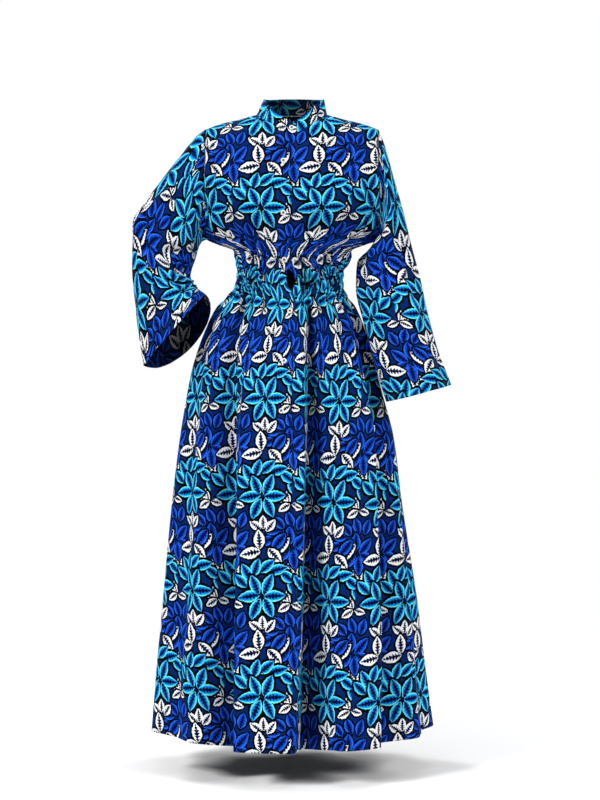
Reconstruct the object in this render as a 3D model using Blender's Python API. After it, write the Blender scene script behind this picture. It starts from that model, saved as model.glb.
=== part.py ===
"""Ankara shirt dress, worn: a long button-front dress with a shirred waist and a stand collar.

The dress stands as it hangs on a wearer, hollow and open at the neck, cuffs and hem. The origin is the
middle of the neck's base at shoulder level. +Z is up, the front faces -Y, the wearer's left is +X.
A drop is a distance down from the origin. An angle is measured round the body from centre front,
positive towards +X, so that 90 is the wearer's left side and 180 is centre back.
Tables are in millimetres and degrees, and every function works in metres.
"""
import math

import bpy
import numpy as np

MM = 0.001

# Cloth and seams
WALL = 0.0016            # cloth wall
COLLAR_WALL = 0.0020     # collar: two cloths and an interlining
SEAM = 0.0003            # gap between two pieces at a seam
NEAR = 0.00001           # nearer than this, two places are the same
LAP_INSET = 0.0024       # the under front lies this far inside the upper one
COLLAR_INSET = 0.0028    # the same for the collar's under end

# Neck, shoulder and armhole
NECK_HALF = 0.083        # half width of the neck opening
NECK_FRONT = 0.078       # how far the neckline comes forward
NECK_BACK = 0.062        # how far it goes back
NECK_DIP = 0.049         # how far it drops at centre front
NECK_RISE = 0.006        # how far it rises at centre back
NECK_SIDE_Z = 0.003      # height of the shoulder seam at the neck
SHOULDER_OUT = 0.202     # half width across the dropped shoulders
ARM_TOP = 0.029          # drop of the shoulder tip
ARM_HALF = 0.128         # half height of the straight armhole
ARM_DEPTH = 0.050        # half its opening from front to back
ARM_CENTRE = ARM_TOP + ARM_HALF
DIP_SOFT = 0.03          # how soft the V of the front neckline is: 0 is a sharp one

# Front closing
LAP = 0.032              # width of the buttoned overlap
LAP_OVER = (0, 0.5, 1)   # columns across it on the upper front, in overlap widths from the edge
LAP_UNDER = (0, 0.5, 1, 1.5)        # the same on the under front
LAP_MIDDLE = 0.014       # the overlap's middle lies this far to the wearer's right
LAP_FLAT = 0.034         # half width of the flat strip round it
GAPE_OVER = 0.007        # how far the upper edge draws aside in the gape at the waist
GAPE_UNDER = 0.044       # how far the under edge draws aside there
GAPE_TOP = 0.352         # drops between which the overlap gapes between two buttons
GAPE_BOTTOM = 0.424

# Shirred waist
SHIR_TOP = 0.313         # drop of the first elastic row
SHIR_STEP = 0.022        # distance between the elastic rows
SHIR_ROWS = 6
SHIR_BOTTOM = SHIR_TOP + SHIR_STEP * (SHIR_ROWS - 1)
SHIR_MARGIN = 0.2        # how far the first and last puff reach past their row, in steps
SHIR_PUFF = 0.0015       # how far the cloth swells between two elastic rows, and draws in on one
PUCKER = 0.0022          # height of the puckers, raised on the outside only
GATHERS = 22             # soft gathers round the body above and below the shirring
GATHER_HEIGHT = 0.0032
GATHER_RISE = 0.030      # how far they reach up into the bodice
GATHER_FALL = 0.075      # how far they reach down into the skirt
GATHER_START = 0.7       # where the first one stands beside centre front, in radians of a gather

# Skirt
HEM = 1.430              # drop of the hem
FOLD_SETTLE = 0.7        # under 1, a fold swings to its place at the hem early on its way down

# Panel grid
NECK_STEPS = 5           # columns from centre back to the neck's side
LEAST_STEP = 1.7         # least angle between the overlap's last column and the next one
SHOULDER_STEPS = 16      # columns along a shoulder seam
YOKE_ROWS = 6            # rows from the top edge to the armhole's middle
ARMHOLE_ROWS = 4         # rows from there to the armhole's lowest point
SLEEVE_STATIONS = 9      # rings of a sleeve beyond the armhole

# Buttons
BUTTON_RADIUS = 0.006
BUTTON_SIDES = 14
BUTTON_SEAT = 0.0004     # gap between a button's back and the cloth's own curve
NORMAL_STEP = 0.004      # distance of the points that give the cloth's tilt under a button
YOKE_SAMPLES = 60        # points down the yoke between which a button's place is read
BUTTON_PROFILE = ((0.0036, 0.0017), (0.0046, 0.0025), (BUTTON_RADIUS, 0.0018), (BUTTON_RADIUS, 0.0))

# Round the body at each drop: half widths to the wearer's right and left, depths to the front and the
# back, and how much the ring is a lens, pointed at the sides (0 is an ellipse, 1000 a lens)
BODY_COLUMNS = ("drop", "right", "left", "front", "back", "lens")
BODY = (
    (157, 202, 202, 114, 98, 0),
    (206, 200, 204, 121, 100, 400),
    (250, 199, 203, 117, 98, 800),
    (285, 197, 203, 111, 94, 1000),
    (297, 168, 170, 108, 91, 700),
    (309, 137, 140, 106, 89, 300),
    (332, 131, 137, 101, 86, 0),
    (362, 127, 119, 94, 80, 0),
    (392, 131, 118, 94, 82, 0),
    (426, 156, 132, 101, 92, 0),
    (475, 187, 158, 118, 118, 0),
    (530, 209, 175, 136, 140, 0),
    (590, 227, 191, 151, 158, 0),
    (660, 241, 212, 167, 176, 0),
    (755, 257, 239, 185, 195, 0),
    (900, 275, 256, 207, 217, 0),
    (1130, 297, 290, 233, 240, 0),
    (1300, 314, 310, 248, 252, 0),
    (1430, 325, 327, 258, 260, 0),
)

# Height of the shoulder seam along it
SHOULDER_COLUMNS = ("out", "height")
SHOULDER = ((83, 3), (119, -5), (166, -16), (202, -29))

# How round the cloth falls from the top edge, by distance out: 1000 is a quarter ellipse, 0 a flat slope
ROUND_COLUMNS = ("out", "round")
ROUND = ((0, 400), (60, 800), (83, 1150), (140, 850), (202, 600))

# Where the edge of the upper front runs, across from the middle
EDGE_COLUMNS = ("drop", "across")
EDGE = ((0, -3), (230, -3), (336, -1), (400, 4), (454, 11), (520, 4), (568, -2), (690, -8), (1430, -9))

# Skirt folds, ridges above 0 and valleys below it: where each runs at the waist and at the hem, its height
# at the hem, and how many degrees its two sides take to fade, a small number giving a hard edge
FOLD_COLUMNS = ("waist_angle", "hem_angle", "height", "fade_before", "fade_after")
FOLDS = (
    (-24, -14, 22, 4.0, 8.0),
    (14, 7, -30, 8.0, 4.5),
    (38, 26, 22, 12.0, 6.0),
    (60, 40, -20, 4.0, 8.0),
    (74, 54, 16, 7.0, 7.0),
    (90, 72, -16, 5.0, 8.0),
    (100, 88, 5, 8.0, 6.0),
    (114, 104, -18, 5.0, 8.0),
    (128, 121, 18, 8.0, 5.0),
    (143, 137, -18, 5.0, 9.0),
    (158, 154, 18, 9.0, 6.0),
    (174, 171, -22, 5.0, 8.0),
    (190, 189, 20, 8.0, 5.0),
    (205, 206, -18, 6.0, 8.0),
    (219, 222, 18, 9.0, 5.0),
    (233, 239, -19, 5.0, 8.0),
    (247, 255, 16, 7.0, 6.0),
    (262, 272, -14, 5.0, 8.0),
    (277, 288, 14, 8.0, 6.0),
    (292, 305, -20, 6.0, 8.0),
    (308, 321, 10, 9.0, 6.0),
    (324, 335, -14, 7.0, 4.0),
)

# How much of a fold's depth is there at each drop
SWELL_COLUMNS = ("drop", "share")
SWELL = ((430, 0), (480, 15), (560, 33), (700, 55), (900, 75), (1200, 92), (1430, 100))

# Drops of the panel rows below the armhole, apart from the shirring's own
ROWS_UNDER_ARM = (297, 305)
ROWS_SKIRT = (440, 470, 515, 580, 670, 780, 910, 1050, 1190, 1320, 1430)

# Each sleeve from the armhole to the cuff: its outer and inner edge seen from the front, the middle of
# its depth, half its depth, and how far its back half hangs beyond the front half
SLEEVE_COLUMNS = ("out_x", "out_z", "in_x", "in_z", "mid_y", "depth", "back_x", "back_z")
SLEEVE_RIGHT = (
    (-202, -29, -202, -285, 0, 50, 0, 0),
    (-222, -44, -209, -289, 0, 54, 0, 0),
    (-262, -92, -217, -302, 2, 60, 0, 0),
    (-305, -146, -226, -332, 6, 66, 0, 0),
    (-345, -200, -234, -354, 8, 69, 0, 0),
    (-374, -250, -237, -370, 8, 70, 0, 0),
    (-372, -335, -230, -387, -4, 70, 4, -6),
    (-359, -460, -217, -401, -28, 67, 20, -20),
    (-342, -578, -200, -414, -52, 60, 42, -34),
)
SLEEVE_LEFT = (
    (202, -29, 202, -285, 0, 50, 0, 0),
    (214, -58, 208, -291, 0, 54, 0, 0),
    (239, -145, 199, -303, 0, 60, 0, 0),
    (258, -215, 172, -316, 0, 65, 0, 0),
    (276, -293, 152, -342, -2, 68, 0, 0),
    (298, -379, 149, -400, -14, 72, 0, 0),
    (316, -461, 165, -476, -38, 74, 0, 0),
    (339, -543, 189, -571, -64, 76, 0, 0),
    (368, -622, 217, -662, -84, 78, 0, 0),
)

# Buttons down the front: drop, and how far inside the upper front's edge
BUTTON_COLUMNS = ("drop", "inside")
BUTTONS = ((110, 16), (230, 16), (336, 16), (454, 15), (568, 15), (681, 15))

# Collar: top edge across and front to back, its shift to the wearer's left, heights, overlap
COLLAR_TOP_HALF = 0.070
COLLAR_TOP_FRONT = 0.066
COLLAR_TOP_BACK = 0.056
COLLAR_SHIFT = 0.005
COLLAR_HEIGHT_FRONT = 0.030
COLLAR_HEIGHT_SIDE = 0.039
COLLAR_OVER = 0.011      # the upper end reaches this far past the middle
COLLAR_ROWS = 3
COLLAR_UNDER = 4         # columns of the under end that lie inside the upper one
COLLAR_BUTTON = 0.2      # place of its button, from the second column of the upper end to the tip
COLLAR_CUT = (0.72, 0.95, 0.85)     # share of the height left at the tip, beside it, and at the under end

# Edges sharper than this many degrees are shaded hard
SHARP_CLOTH = 50
SHARP_BUTTON = 35

# Cloth and button finishes: colour, roughness
CLOTH = ((0.012, 0.050, 0.260), 0.62)
BUTTON = ((0.78, 0.77, 0.74), 0.32)


def column(table, names, name):
    """One named column of a table, in the table's own unit."""
    return np.array([row[names.index(name)] for row in table], dtype=float)


def smooth(at, places, values):
    """A curve through (places, values) that never overshoots: cubic pieces with limited slopes."""
    step = np.diff(places)
    rate = np.diff(values) / step
    slope = np.empty_like(values)
    slope[0], slope[-1] = rate[0], rate[-1]
    product = rate[:-1] * rate[1:]
    total = rate[:-1] + rate[1:]
    total[total == 0] = 1.0
    slope[1:-1] = np.where(product > 0, 2 * product / total, 0.0)
    piece = np.clip(np.searchsorted(places, at) - 1, 0, len(step) - 1)
    t = np.clip((at - places[piece]) / step[piece], 0.0, 1.0)
    start, end = values[piece], values[piece + 1]
    rise = step[piece]
    return (start * (1 + 2 * t) * (1 - t) ** 2 + slope[piece] * rise * t * (1 - t) ** 2
            + end * t * t * (3 - 2 * t) - slope[piece + 1] * rise * t * t * (1 - t))


def read(table, names, name, at):
    """A table's column at the given drops or distances: in metres, or a share where it holds thousandths."""
    places, values = column(table, names, names[0]), column(table, names, name)
    return MM * smooth(np.asarray(at, float) / MM, places, values)


def armhole_lip(drop):
    """How far the armhole's edge stands from the shoulder line's plane: half an ellipse, 0 below it."""
    inside = np.clip(1 - ((drop - ARM_CENTRE) / ARM_HALF) ** 2, 0, 1)
    return ARM_DEPTH * np.sqrt(inside)


def edge_of_lap(drop):
    """Across position of the upper front's edge."""
    return read(EDGE, EDGE_COLUMNS, "across", drop)


def gape(drop):
    """0 to 1: how far the overlap has opened between the two buttons at the waist."""
    along = np.clip((drop - GAPE_TOP) / (GAPE_BOTTOM - GAPE_TOP), 0, 1)
    return np.sin(math.pi * along) ** 2


def skirt_folds(angle, drop):
    """How far the large folds push the skirt out: each is a bell with two unlike sides."""
    share = read(SWELL, SWELL_COLUMNS, "share", drop) / MM / 100
    settle = np.clip((drop - SHIR_BOTTOM) / (HEM - SHIR_BOTTOM), 0, 1) ** FOLD_SETTLE
    waist, hem, height, before, after = (column(FOLDS, FOLD_COLUMNS, name) for name in FOLD_COLUMNS)
    past = (angle[:, None] - waist - (hem - waist) * settle[:, None] + 180) % 360 - 180
    bells = height * MM * np.exp(-(past / np.where(past < 0, before, after)) ** 2)
    return share * bells.sum(axis=1)


def off_the_lap(x, facing):
    """0 on the buttoned overlap, which stays flat, and 1 away from it."""
    return 1 - np.exp(-((x + LAP_MIDDLE) / LAP_FLAT) ** 4) * (facing < 0)


def waist_gathers(angle, drop):
    """Soft gathers that fade upwards into the bodice and downwards into the skirt."""
    above = np.exp(-((drop - SHIR_TOP) / GATHER_RISE) ** 2)
    below = np.exp(-((drop - SHIR_BOTTOM) / GATHER_FALL) ** 2)
    fade = np.where(drop < SHIR_TOP, above, np.where(drop > SHIR_BOTTOM, below, 0.0))
    return GATHER_HEIGHT * fade * np.sin(np.radians(GATHERS * angle) + GATHER_START)


def shirring_puff(drop):
    """The cloth draws in on each elastic row and swells between two of them."""
    rows = (drop - SHIR_TOP) / SHIR_STEP
    inside = (rows > -SHIR_MARGIN) & (rows < SHIR_ROWS - 1 + SHIR_MARGIN)
    return np.where(inside, -SHIR_PUFF * np.cos(2 * math.pi * rows), 0.0)


def half_width(drop, right):
    """Half width of the ring at a drop, on the wearer's right or left."""
    return np.where(right, read(BODY, BODY_COLUMNS, "right", drop), read(BODY, BODY_COLUMNS, "left", drop))


def across_share(quarter, drop):
    """How far out a column lies, as a share of the half width, at an angle of 0 to 90 from the middle."""
    lens = read(BODY, BODY_COLUMNS, "lens", drop)
    return (1 - lens) * np.sin(np.radians(quarter)) + lens * quarter / 90


def angle_at(x, drop):
    """The angle from centre front at which the ring at a drop passes x."""
    quarter = np.linspace(0, 90, 181)
    outs = half_width(drop, x < 0) * across_share(quarter, drop)
    return math.copysign(float(np.interp(abs(x), outs, quarter)), x)


def body_ring(angle, drop, facing):
    """A point of the body from the armhole's middle down: a ring, with folds, gathers and shirring."""
    right = np.sin(np.radians(angle)) < 0
    quarter = np.abs(angle) if facing < 0 else np.abs(180 - angle)
    half = half_width(drop, right)
    depth = read(BODY, BODY_COLUMNS, "front" if facing < 0 else "back", drop)
    lip = armhole_lip(drop)
    across = np.where(right, -1, 1) * across_share(quarter, drop)
    ahead = np.cos(np.radians(quarter))
    x, y = half * across, facing * (lip + (depth - lip) * ahead)
    waves = waist_gathers(angle, drop) + shirring_puff(drop)
    out = skirt_folds(angle, drop) + waves * off_the_lap(x, facing)
    tilt_x, tilt_y = across / half, facing * ahead / depth
    length = np.hypot(tilt_x, tilt_y)
    return x + out * tilt_x / length, y + out * tilt_y / length, -drop


def top_edge(x, facing):
    """The neckline and the shoulder seam above each column. facing is -1 in front and 1 behind."""
    across = np.minimum(np.abs(x) / NECK_HALF, 1)
    reach = NECK_FRONT if facing < 0 else NECK_BACK
    y = facing * (SEAM / 2 + reach * np.sqrt(1 - across ** 2))
    lowest, side = math.sqrt(DIP_SOFT), math.sqrt(1 + DIP_SOFT)
    dip = (side - np.sqrt(across ** 2 + DIP_SOFT)) / (side - lowest)
    neck_z = NECK_SIDE_Z + (-NECK_DIP * dip if facing < 0 else NECK_RISE * (1 - across ** 2))
    shoulder_z = read(SHOULDER, SHOULDER_COLUMNS, "height", np.clip(np.abs(x), NECK_HALF, SHOULDER_OUT))
    return y, np.where(across < 1, neck_z, shoulder_z)


def yoke(angle, share, facing):
    """Between the top edge, at share 0, and the ring at the armhole's middle, at share 1."""
    x, ring_y, ring_z = body_ring(angle, np.full_like(angle, ARM_CENTRE), facing)
    top_y, top_z = top_edge(x, facing)
    turn = share * math.pi / 2
    bend = read(ROUND, ROUND_COLUMNS, "round", np.abs(x))
    ahead = bend * math.sin(turn) + (1 - bend) * share
    down = bend * (1 - math.cos(turn)) + (1 - bend) * share
    return x, top_y + (ring_y - top_y) * ahead, top_z + (ring_z - top_z) * down


def neck_angles():
    """Column angles from the middle to the neck's side, then on to the armhole."""
    neck = NECK_HALF * np.sin(np.linspace(0, math.pi / 2, NECK_STEPS + 1))
    corner = math.degrees(math.asin(NECK_HALF / SHOULDER_OUT))
    shoulder = np.linspace(corner, 90, SHOULDER_STEPS + 1)[1:]
    return np.concatenate([np.degrees(np.arcsin(neck / SHOULDER_OUT)), shoulder])


def lap_columns(drop, side):
    """Across positions of a front's columns on the overlap, which draws apart where it gapes."""
    edge, open_now = float(edge_of_lap(drop)), float(gape(drop))
    if side < 0:
        return edge - GAPE_OVER * open_now - LAP * np.array(LAP_OVER)
    narrowed = LAP * (1 - open_now / 2)
    return edge - LAP + GAPE_UNDER * open_now + narrowed * np.array(LAP_UNDER)


def front_angles(drop, side):
    """Column angles of a front at one drop: the overlap's own, and the rest spread to the side seam."""
    lap_angles = np.array([angle_at(x, drop) for x in lap_columns(drop, side)])
    lap_end = abs(lap_columns(ARM_CENTRE, side)[-1])
    first = math.degrees(math.asin(lap_end / SHOULDER_OUT))
    columns = neck_angles()
    spread = columns[columns > first + LEAST_STEP] - first
    spread = spread / spread[-1]
    return np.concatenate([lap_angles, lap_angles[-1] + (side * 90 - lap_angles[-1]) * spread])


def back_angles(drop):
    """Column angles of the back, from the wearer's right side seam round to the left, alike at each drop."""
    columns = neck_angles()
    return np.concatenate([180 + columns[::-1], 180 - columns[1:]])


def row_drops():
    """Drops of the rows below the armhole's middle."""
    armhole = ARM_CENTRE + ARM_HALF * np.sin(np.linspace(0, math.pi / 2, ARMHOLE_ROWS + 1))[1:]
    shirring = SHIR_TOP + SHIR_STEP / 2 * np.arange(2 * SHIR_ROWS - 1)
    return np.concatenate([armhole, MM * np.array(ROWS_UNDER_ARM), shirring, MM * np.array(ROWS_SKIRT)])


YOKE_SHARES = np.linspace(0, 1, YOKE_ROWS)
ROW_DROPS = row_drops()
ARM_ROW = YOKE_ROWS + ARMHOLE_ROWS - 1          # index of the row at the armhole's lowest point
SHIR_ROW = ARM_ROW + 1 + len(ROWS_UNDER_ARM)    # index of the first elastic row


def panel_grid(angles_at, facing):
    """Rows of points of one panel's outer side, from its top edge to the hem."""
    rows = [yoke(angles_at(ARM_CENTRE), share, facing) for share in YOKE_SHARES]
    rows += [body_ring(angles_at(drop), np.full(len(angles_at(drop)), drop), facing) for drop in ROW_DROPS]
    return np.array([np.stack([x, y, np.broadcast_to(z, x.shape)], axis=-1) for x, y, z in rows])


def unit(vectors):
    """Vectors of length 1."""
    return vectors / np.maximum(np.linalg.norm(vectors, axis=-1, keepdims=True), 1e-12)


def grid_normals(points, closed=False):
    """Normals of a grid from its neighbours along both directions, pointing out of the garment."""
    if closed:
        across = np.roll(points, -1, axis=1) - np.roll(points, 1, axis=1)
    else:
        across = np.gradient(points, axis=1)
    return unit(np.cross(np.gradient(points, axis=0), across))


def loop_normals(points):
    """Normals of an armhole's edge in its own plane: its tangent turned a quarter, pointing outwards."""
    along = np.gradient(points, axis=0)
    flat = np.stack([np.zeros(len(along)), along[:, 2], -along[:, 1]], axis=-1)
    middle = points - np.array([0, 0, -ARM_CENTRE])
    facing = np.sign(np.sum(flat * middle, axis=-1, keepdims=True))
    return unit(flat * facing)


def solid(name, points, triangles, material, sharp_angle):
    """An object from triangles, turned so that they face outwards."""
    corner = points[triangles]
    if np.sum(corner[:, 0] * np.cross(corner[:, 1], corner[:, 2])) < 0:
        triangles = triangles[:, ::-1]
    mesh = bpy.data.meshes.new(name)
    mesh.from_pydata(points.tolist(), [], triangles.tolist())
    mesh.materials.append(material)
    mesh.shade_smooth()
    mesh.set_sharp_from_angle(angle=math.radians(sharp_angle))
    bpy.context.scene.collection.objects.link(bpy.data.objects.new(name, mesh))


def wall_mesh(name, outer, inner, material, closed=False):
    """A closed wall between two grids of the same size: two skins joined along their edges."""
    rows, cols = outer.shape[:2]
    count = rows * cols
    index = np.arange(count).reshape(rows, cols)
    if closed:
        index = np.concatenate([index, index[:, :1]], axis=1)
    faces = []

    def skin(a, b, c, d):
        faces.extend(np.stack([a, b, c], axis=-1).reshape(-1, 3).tolist())
        faces.extend(np.stack([a, c, d], axis=-1).reshape(-1, 3).tolist())

    a, b, c, d = index[:-1, :-1], index[:-1, 1:], index[1:, 1:], index[1:, :-1]
    skin(a, d, c, b)
    skin(count + a, count + b, count + c, count + d)
    for edge, flip in ((index[0], False), (index[-1], True)):
        one, two = (edge[:-1], edge[1:]) if not flip else (edge[1:], edge[:-1])
        skin(one, two, count + two, count + one)
    if not closed:
        for edge, flip in ((index[:, 0], True), (index[:, -1], False)):
            one, two = (edge[:-1], edge[1:]) if not flip else (edge[1:], edge[:-1])
            skin(one, two, count + two, count + one)
    points = np.concatenate([outer.reshape(-1, 3), inner.reshape(-1, 3)])
    solid(name, points, np.array(faces), material, SHARP_CLOTH)


def finish(name, colour, roughness):
    """A plain material of one colour."""
    material = bpy.data.materials.new(name)
    material.use_nodes = True
    shader = material.node_tree.nodes["Principled BSDF"]
    shader.inputs["Base Color"].default_value = (*colour, 1)
    shader.inputs["Roughness"].default_value = roughness
    shader.inputs["Metallic"].default_value = 0.0
    return material


def puckers(rows, cols):
    """Height of the shirring's puckers: on every second column, and lower on the elastic rows."""
    raised = np.zeros((rows, cols))
    ridges = np.arange(cols) % 2 == 1
    ridges[[1, -1]] = False
    for row in range(2 * SHIR_ROWS - 1):
        raised[SHIR_ROW + row, ridges] = PUCKER if row % 2 else PUCKER / 2
    return raised


def panel(name, angles_at, facing, material, side_columns, inset=()):
    """One body panel. side_columns are its edges on a side seam and armhole, and inset moves its first
    columns in, so that they lie under another panel."""
    grid = panel_grid(angles_at, facing)
    normals = grid_normals(grid)
    normals *= np.sign(np.sum((normals[-1] * grid[-1])[:, :2]))
    on_shoulder = np.abs(grid[0, :, 0]) >= NECK_HALF - NEAR
    normals[0, on_shoulder, 1] = 0
    for col in side_columns:
        normals[ARM_ROW + 1:, col, 1] = 0
        normals[:ARM_ROW + 1, col] = loop_normals(grid[:ARM_ROW + 1, col])
        normals[0, col] = (0, 0, 1)
        normals[ARM_ROW, col] = (0, 0, -1)
        grid[ARM_ROW:, col, 1] = facing * SEAM / 2
    normals = unit(normals)
    depth = np.zeros(grid.shape[1])
    depth[:len(inset)] = inset
    grid = grid - normals * depth[None, :, None]
    outer = grid + normals * puckers(*grid.shape[:2])[:, :, None]
    wall_mesh(name, outer, grid - normals * WALL, material)
    return grid


def sleeve(name, table, front_side, back_side, side, material):
    """A sleeve: its first ring is the armhole's own edge, moved out by the seam, then rings to the cuff."""
    front_edge = front_side[:ARM_ROW + 1].copy()
    back_edge = back_side[:ARM_ROW + 1]
    front_edge[[0, -1], 1] = 0
    ring = np.concatenate([front_edge, back_edge[-2:0:-1]])
    ring[:, 0] += side * SEAM
    count = len(ring)
    turn = np.linspace(0, 2 * math.pi, count, endpoint=False)
    station = np.linspace(0, len(table) - 1, SLEEVE_STATIONS + 1)[1:]
    places = np.arange(len(table), dtype=float)
    at = {key: MM * smooth(station, places, column(table, SLEEVE_COLUMNS, key)) for key in SLEEVE_COLUMNS}
    out = np.cos(turn)
    ahead = np.sin(turn)
    behind = np.maximum(-ahead, 0)
    rings = [ring]
    for k in range(SLEEVE_STATIONS):
        x = ((at["out_x"][k] + at["in_x"][k]) / 2 + out * (at["out_x"][k] - at["in_x"][k]) / 2
             + behind * at["back_x"][k])
        z = ((at["out_z"][k] + at["in_z"][k]) / 2 + out * (at["out_z"][k] - at["in_z"][k]) / 2
             + behind * at["back_z"][k])
        y = at["mid_y"][k] - ahead * at["depth"][k]
        rings.append(np.stack([x, y, z], axis=-1))
    grid = np.array(rings)
    normals = grid_normals(grid, closed=True)
    normals *= np.sign(np.sum(normals * (grid - grid.mean(axis=1, keepdims=True))))
    edge_normals = np.concatenate([loop_normals(front_edge), loop_normals(back_edge)[-2:0:-1]])
    edge_normals[0] = (0, 0, 1)
    edge_normals[ARM_ROW] = (0, 0, -1)
    normals[0] = edge_normals
    wall_mesh(name, grid, grid - normals * WALL, material, closed=True)


def collar(front_right, front_left, back, material):
    """The stand collar: a band on the neckline, leaning in, its upper end lapped over the under one."""
    inside = NECK_HALF - NEAR
    over = [x for x in front_right[0, :, 0] if abs(x) < inside]
    rear = [x for x in back[0, :, 0] if abs(x) < inside]
    under = [x for x in front_left[0, :, 0] if abs(x) < inside][::-1]
    x = np.array([COLLAR_OVER] + over + [-NECK_HALF] + rear + [NECK_HALF] + under)
    ahead = np.ones(len(x), dtype=bool)
    ahead[len(over) + 1:len(over) + 3 + len(rear)] = False
    front_y, front_z = top_edge(x, -1)
    back_y, back_z = top_edge(x, 1)
    line = np.stack([x, np.where(ahead, front_y, back_y), np.where(ahead, front_z, back_z) + SEAM], axis=-1)
    forward = np.clip(-line[:, 1] / NECK_FRONT, 0, 1)
    height = COLLAR_HEIGHT_SIDE + (COLLAR_HEIGHT_FRONT - COLLAR_HEIGHT_SIDE) * forward
    cut = np.ones(len(x))
    cut[[0, 1, -1]] = COLLAR_CUT
    reach = np.where(ahead, COLLAR_TOP_FRONT / NECK_FRONT, COLLAR_TOP_BACK / NECK_BACK)
    top = np.stack([x * COLLAR_TOP_HALF / NECK_HALF + COLLAR_SHIFT * (1 - forward),
                    line[:, 1] * reach, line[:, 2] + height], axis=-1)
    share = np.linspace(0, 1, COLLAR_ROWS + 1)[:, None, None] * cut[None, :, None]
    grid = line * (1 - share) + top * share
    normals = grid_normals(grid)
    normals[0, :, 2] = 0
    normals *= np.sign(np.sum((normals * grid)[:, :, :2]))
    normals = unit(normals)
    inset = np.zeros(len(x))
    inset[-COLLAR_UNDER:] = COLLAR_INSET
    inset[-COLLAR_UNDER - 1] = COLLAR_INSET / 2
    grid = grid - normals * inset[None, :, None]
    wall_mesh("collar", grid, grid - normals * COLLAR_WALL, material)
    return grid, normals


def button(name, centre, normal, material):
    """A round shirt button with a raised rim, turned from a short profile, its back near the cloth."""
    side_way = unit(np.cross(normal, np.array([0.0, 0.0, 1.0])))
    up_way = np.cross(side_way, normal)
    turn = np.linspace(0, 2 * math.pi, BUTTON_SIDES, endpoint=False)[:, None]
    spokes = np.cos(turn) * side_way + np.sin(turn) * up_way
    rings = [centre + normal * high + spokes * radius for radius, high in BUTTON_PROFILE]
    points = np.concatenate([[centre + normal * BUTTON_PROFILE[0][1]]] + rings + [[centre]])
    now = np.arange(BUTTON_SIDES)
    after = (now + 1) % BUTTON_SIDES
    starts = 1 + BUTTON_SIDES * np.arange(len(rings))
    faces = [np.stack([0 * now, starts[0] + now, starts[0] + after], axis=-1)]
    for inner, outer in zip(starts[:-1], starts[1:]):
        faces.append(np.stack([inner + now, outer + now, outer + after], axis=-1))
        faces.append(np.stack([inner + now, outer + after, inner + after], axis=-1))
    faces.append(np.stack([0 * now + len(points) - 1, starts[-1] + after, starts[-1] + now], axis=-1))
    solid(name, points, np.concatenate(faces), material, SHARP_BUTTON)


def surface_at(x, drop):
    """A point of the front's outer side and its normal, from three near points of the same formula."""
    def at(across, down):
        angle = np.array([angle_at(across, max(down, ARM_CENTRE))])
        if down >= ARM_CENTRE:
            return np.array([v.item() for v in body_ring(angle, np.array([down]), -1)])
        shares = np.linspace(0, 1, YOKE_SAMPLES)
        line = np.array([[v.item() for v in yoke(angle, share, -1)] for share in shares])
        return np.array([np.interp(-down, line[::-1, 2], line[::-1, k]) for k in range(3)])

    step = NORMAL_STEP
    sideways = at(x + step, drop) - at(x - step, drop)
    upwards = at(x, drop - step) - at(x, drop + step)
    normal = unit(np.cross(sideways, upwards))
    return at(x, drop), normal * (-1 if normal[1] > 0 else 1)


def build():
    """Every piece of the dress."""
    for old in list(bpy.data.objects):
        bpy.data.objects.remove(old, do_unlink=True)
    cloth = finish("printed_cotton", *CLOTH)
    shell = finish("button_shell", *BUTTON)

    def right_angles(drop):
        return front_angles(drop, -1)

    def left_angles(drop):
        return front_angles(drop, 1)

    under_inset = [LAP_INSET, LAP_INSET, LAP_INSET, LAP_INSET / 2]
    front_right = panel("front_right", right_angles, -1, cloth, [-1])
    front_left = panel("front_left", left_angles, -1, cloth, [-1], under_inset)
    back = panel("back", back_angles, 1, cloth, [0, -1])
    sleeve("sleeve_right", SLEEVE_RIGHT, front_right[:, -1], back[:, 0], -1, cloth)
    sleeve("sleeve_left", SLEEVE_LEFT, front_left[:, -1], back[:, -1], 1, cloth)
    collar_grid, collar_normals = collar(front_right, front_left, back, cloth)
    tip, beside = collar_grid[1:3, :2].mean(axis=0)
    place = beside + (tip - beside) * COLLAR_BUTTON
    button("button_collar", place + collar_normals[1, 1] * BUTTON_SEAT, collar_normals[1, 1], shell)
    drops = MM * column(BUTTONS, BUTTON_COLUMNS, "drop")
    insides = MM * column(BUTTONS, BUTTON_COLUMNS, "inside")
    for number, (drop, inside) in enumerate(zip(drops, insides), start=1):
        place, normal = surface_at(float(edge_of_lap(drop)) - inside, drop)
        button(f"button_{number}", place + normal * BUTTON_SEAT, normal, shell)


build()
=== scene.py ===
# %% [markdown]
# # An ankara shirt dress
# A long dress in printed cotton, worn: buttoned down the front, drawn in at the waist by rows of
# elastic, with wide sleeves and a small stand collar. The fixed frame brings in the plain solids of
# its pieces at their real size. Here each piece gets its fine cloth, its sewing and its print, and the
# solids stay behind them unseen.

# %% Load the frame
import math

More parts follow.
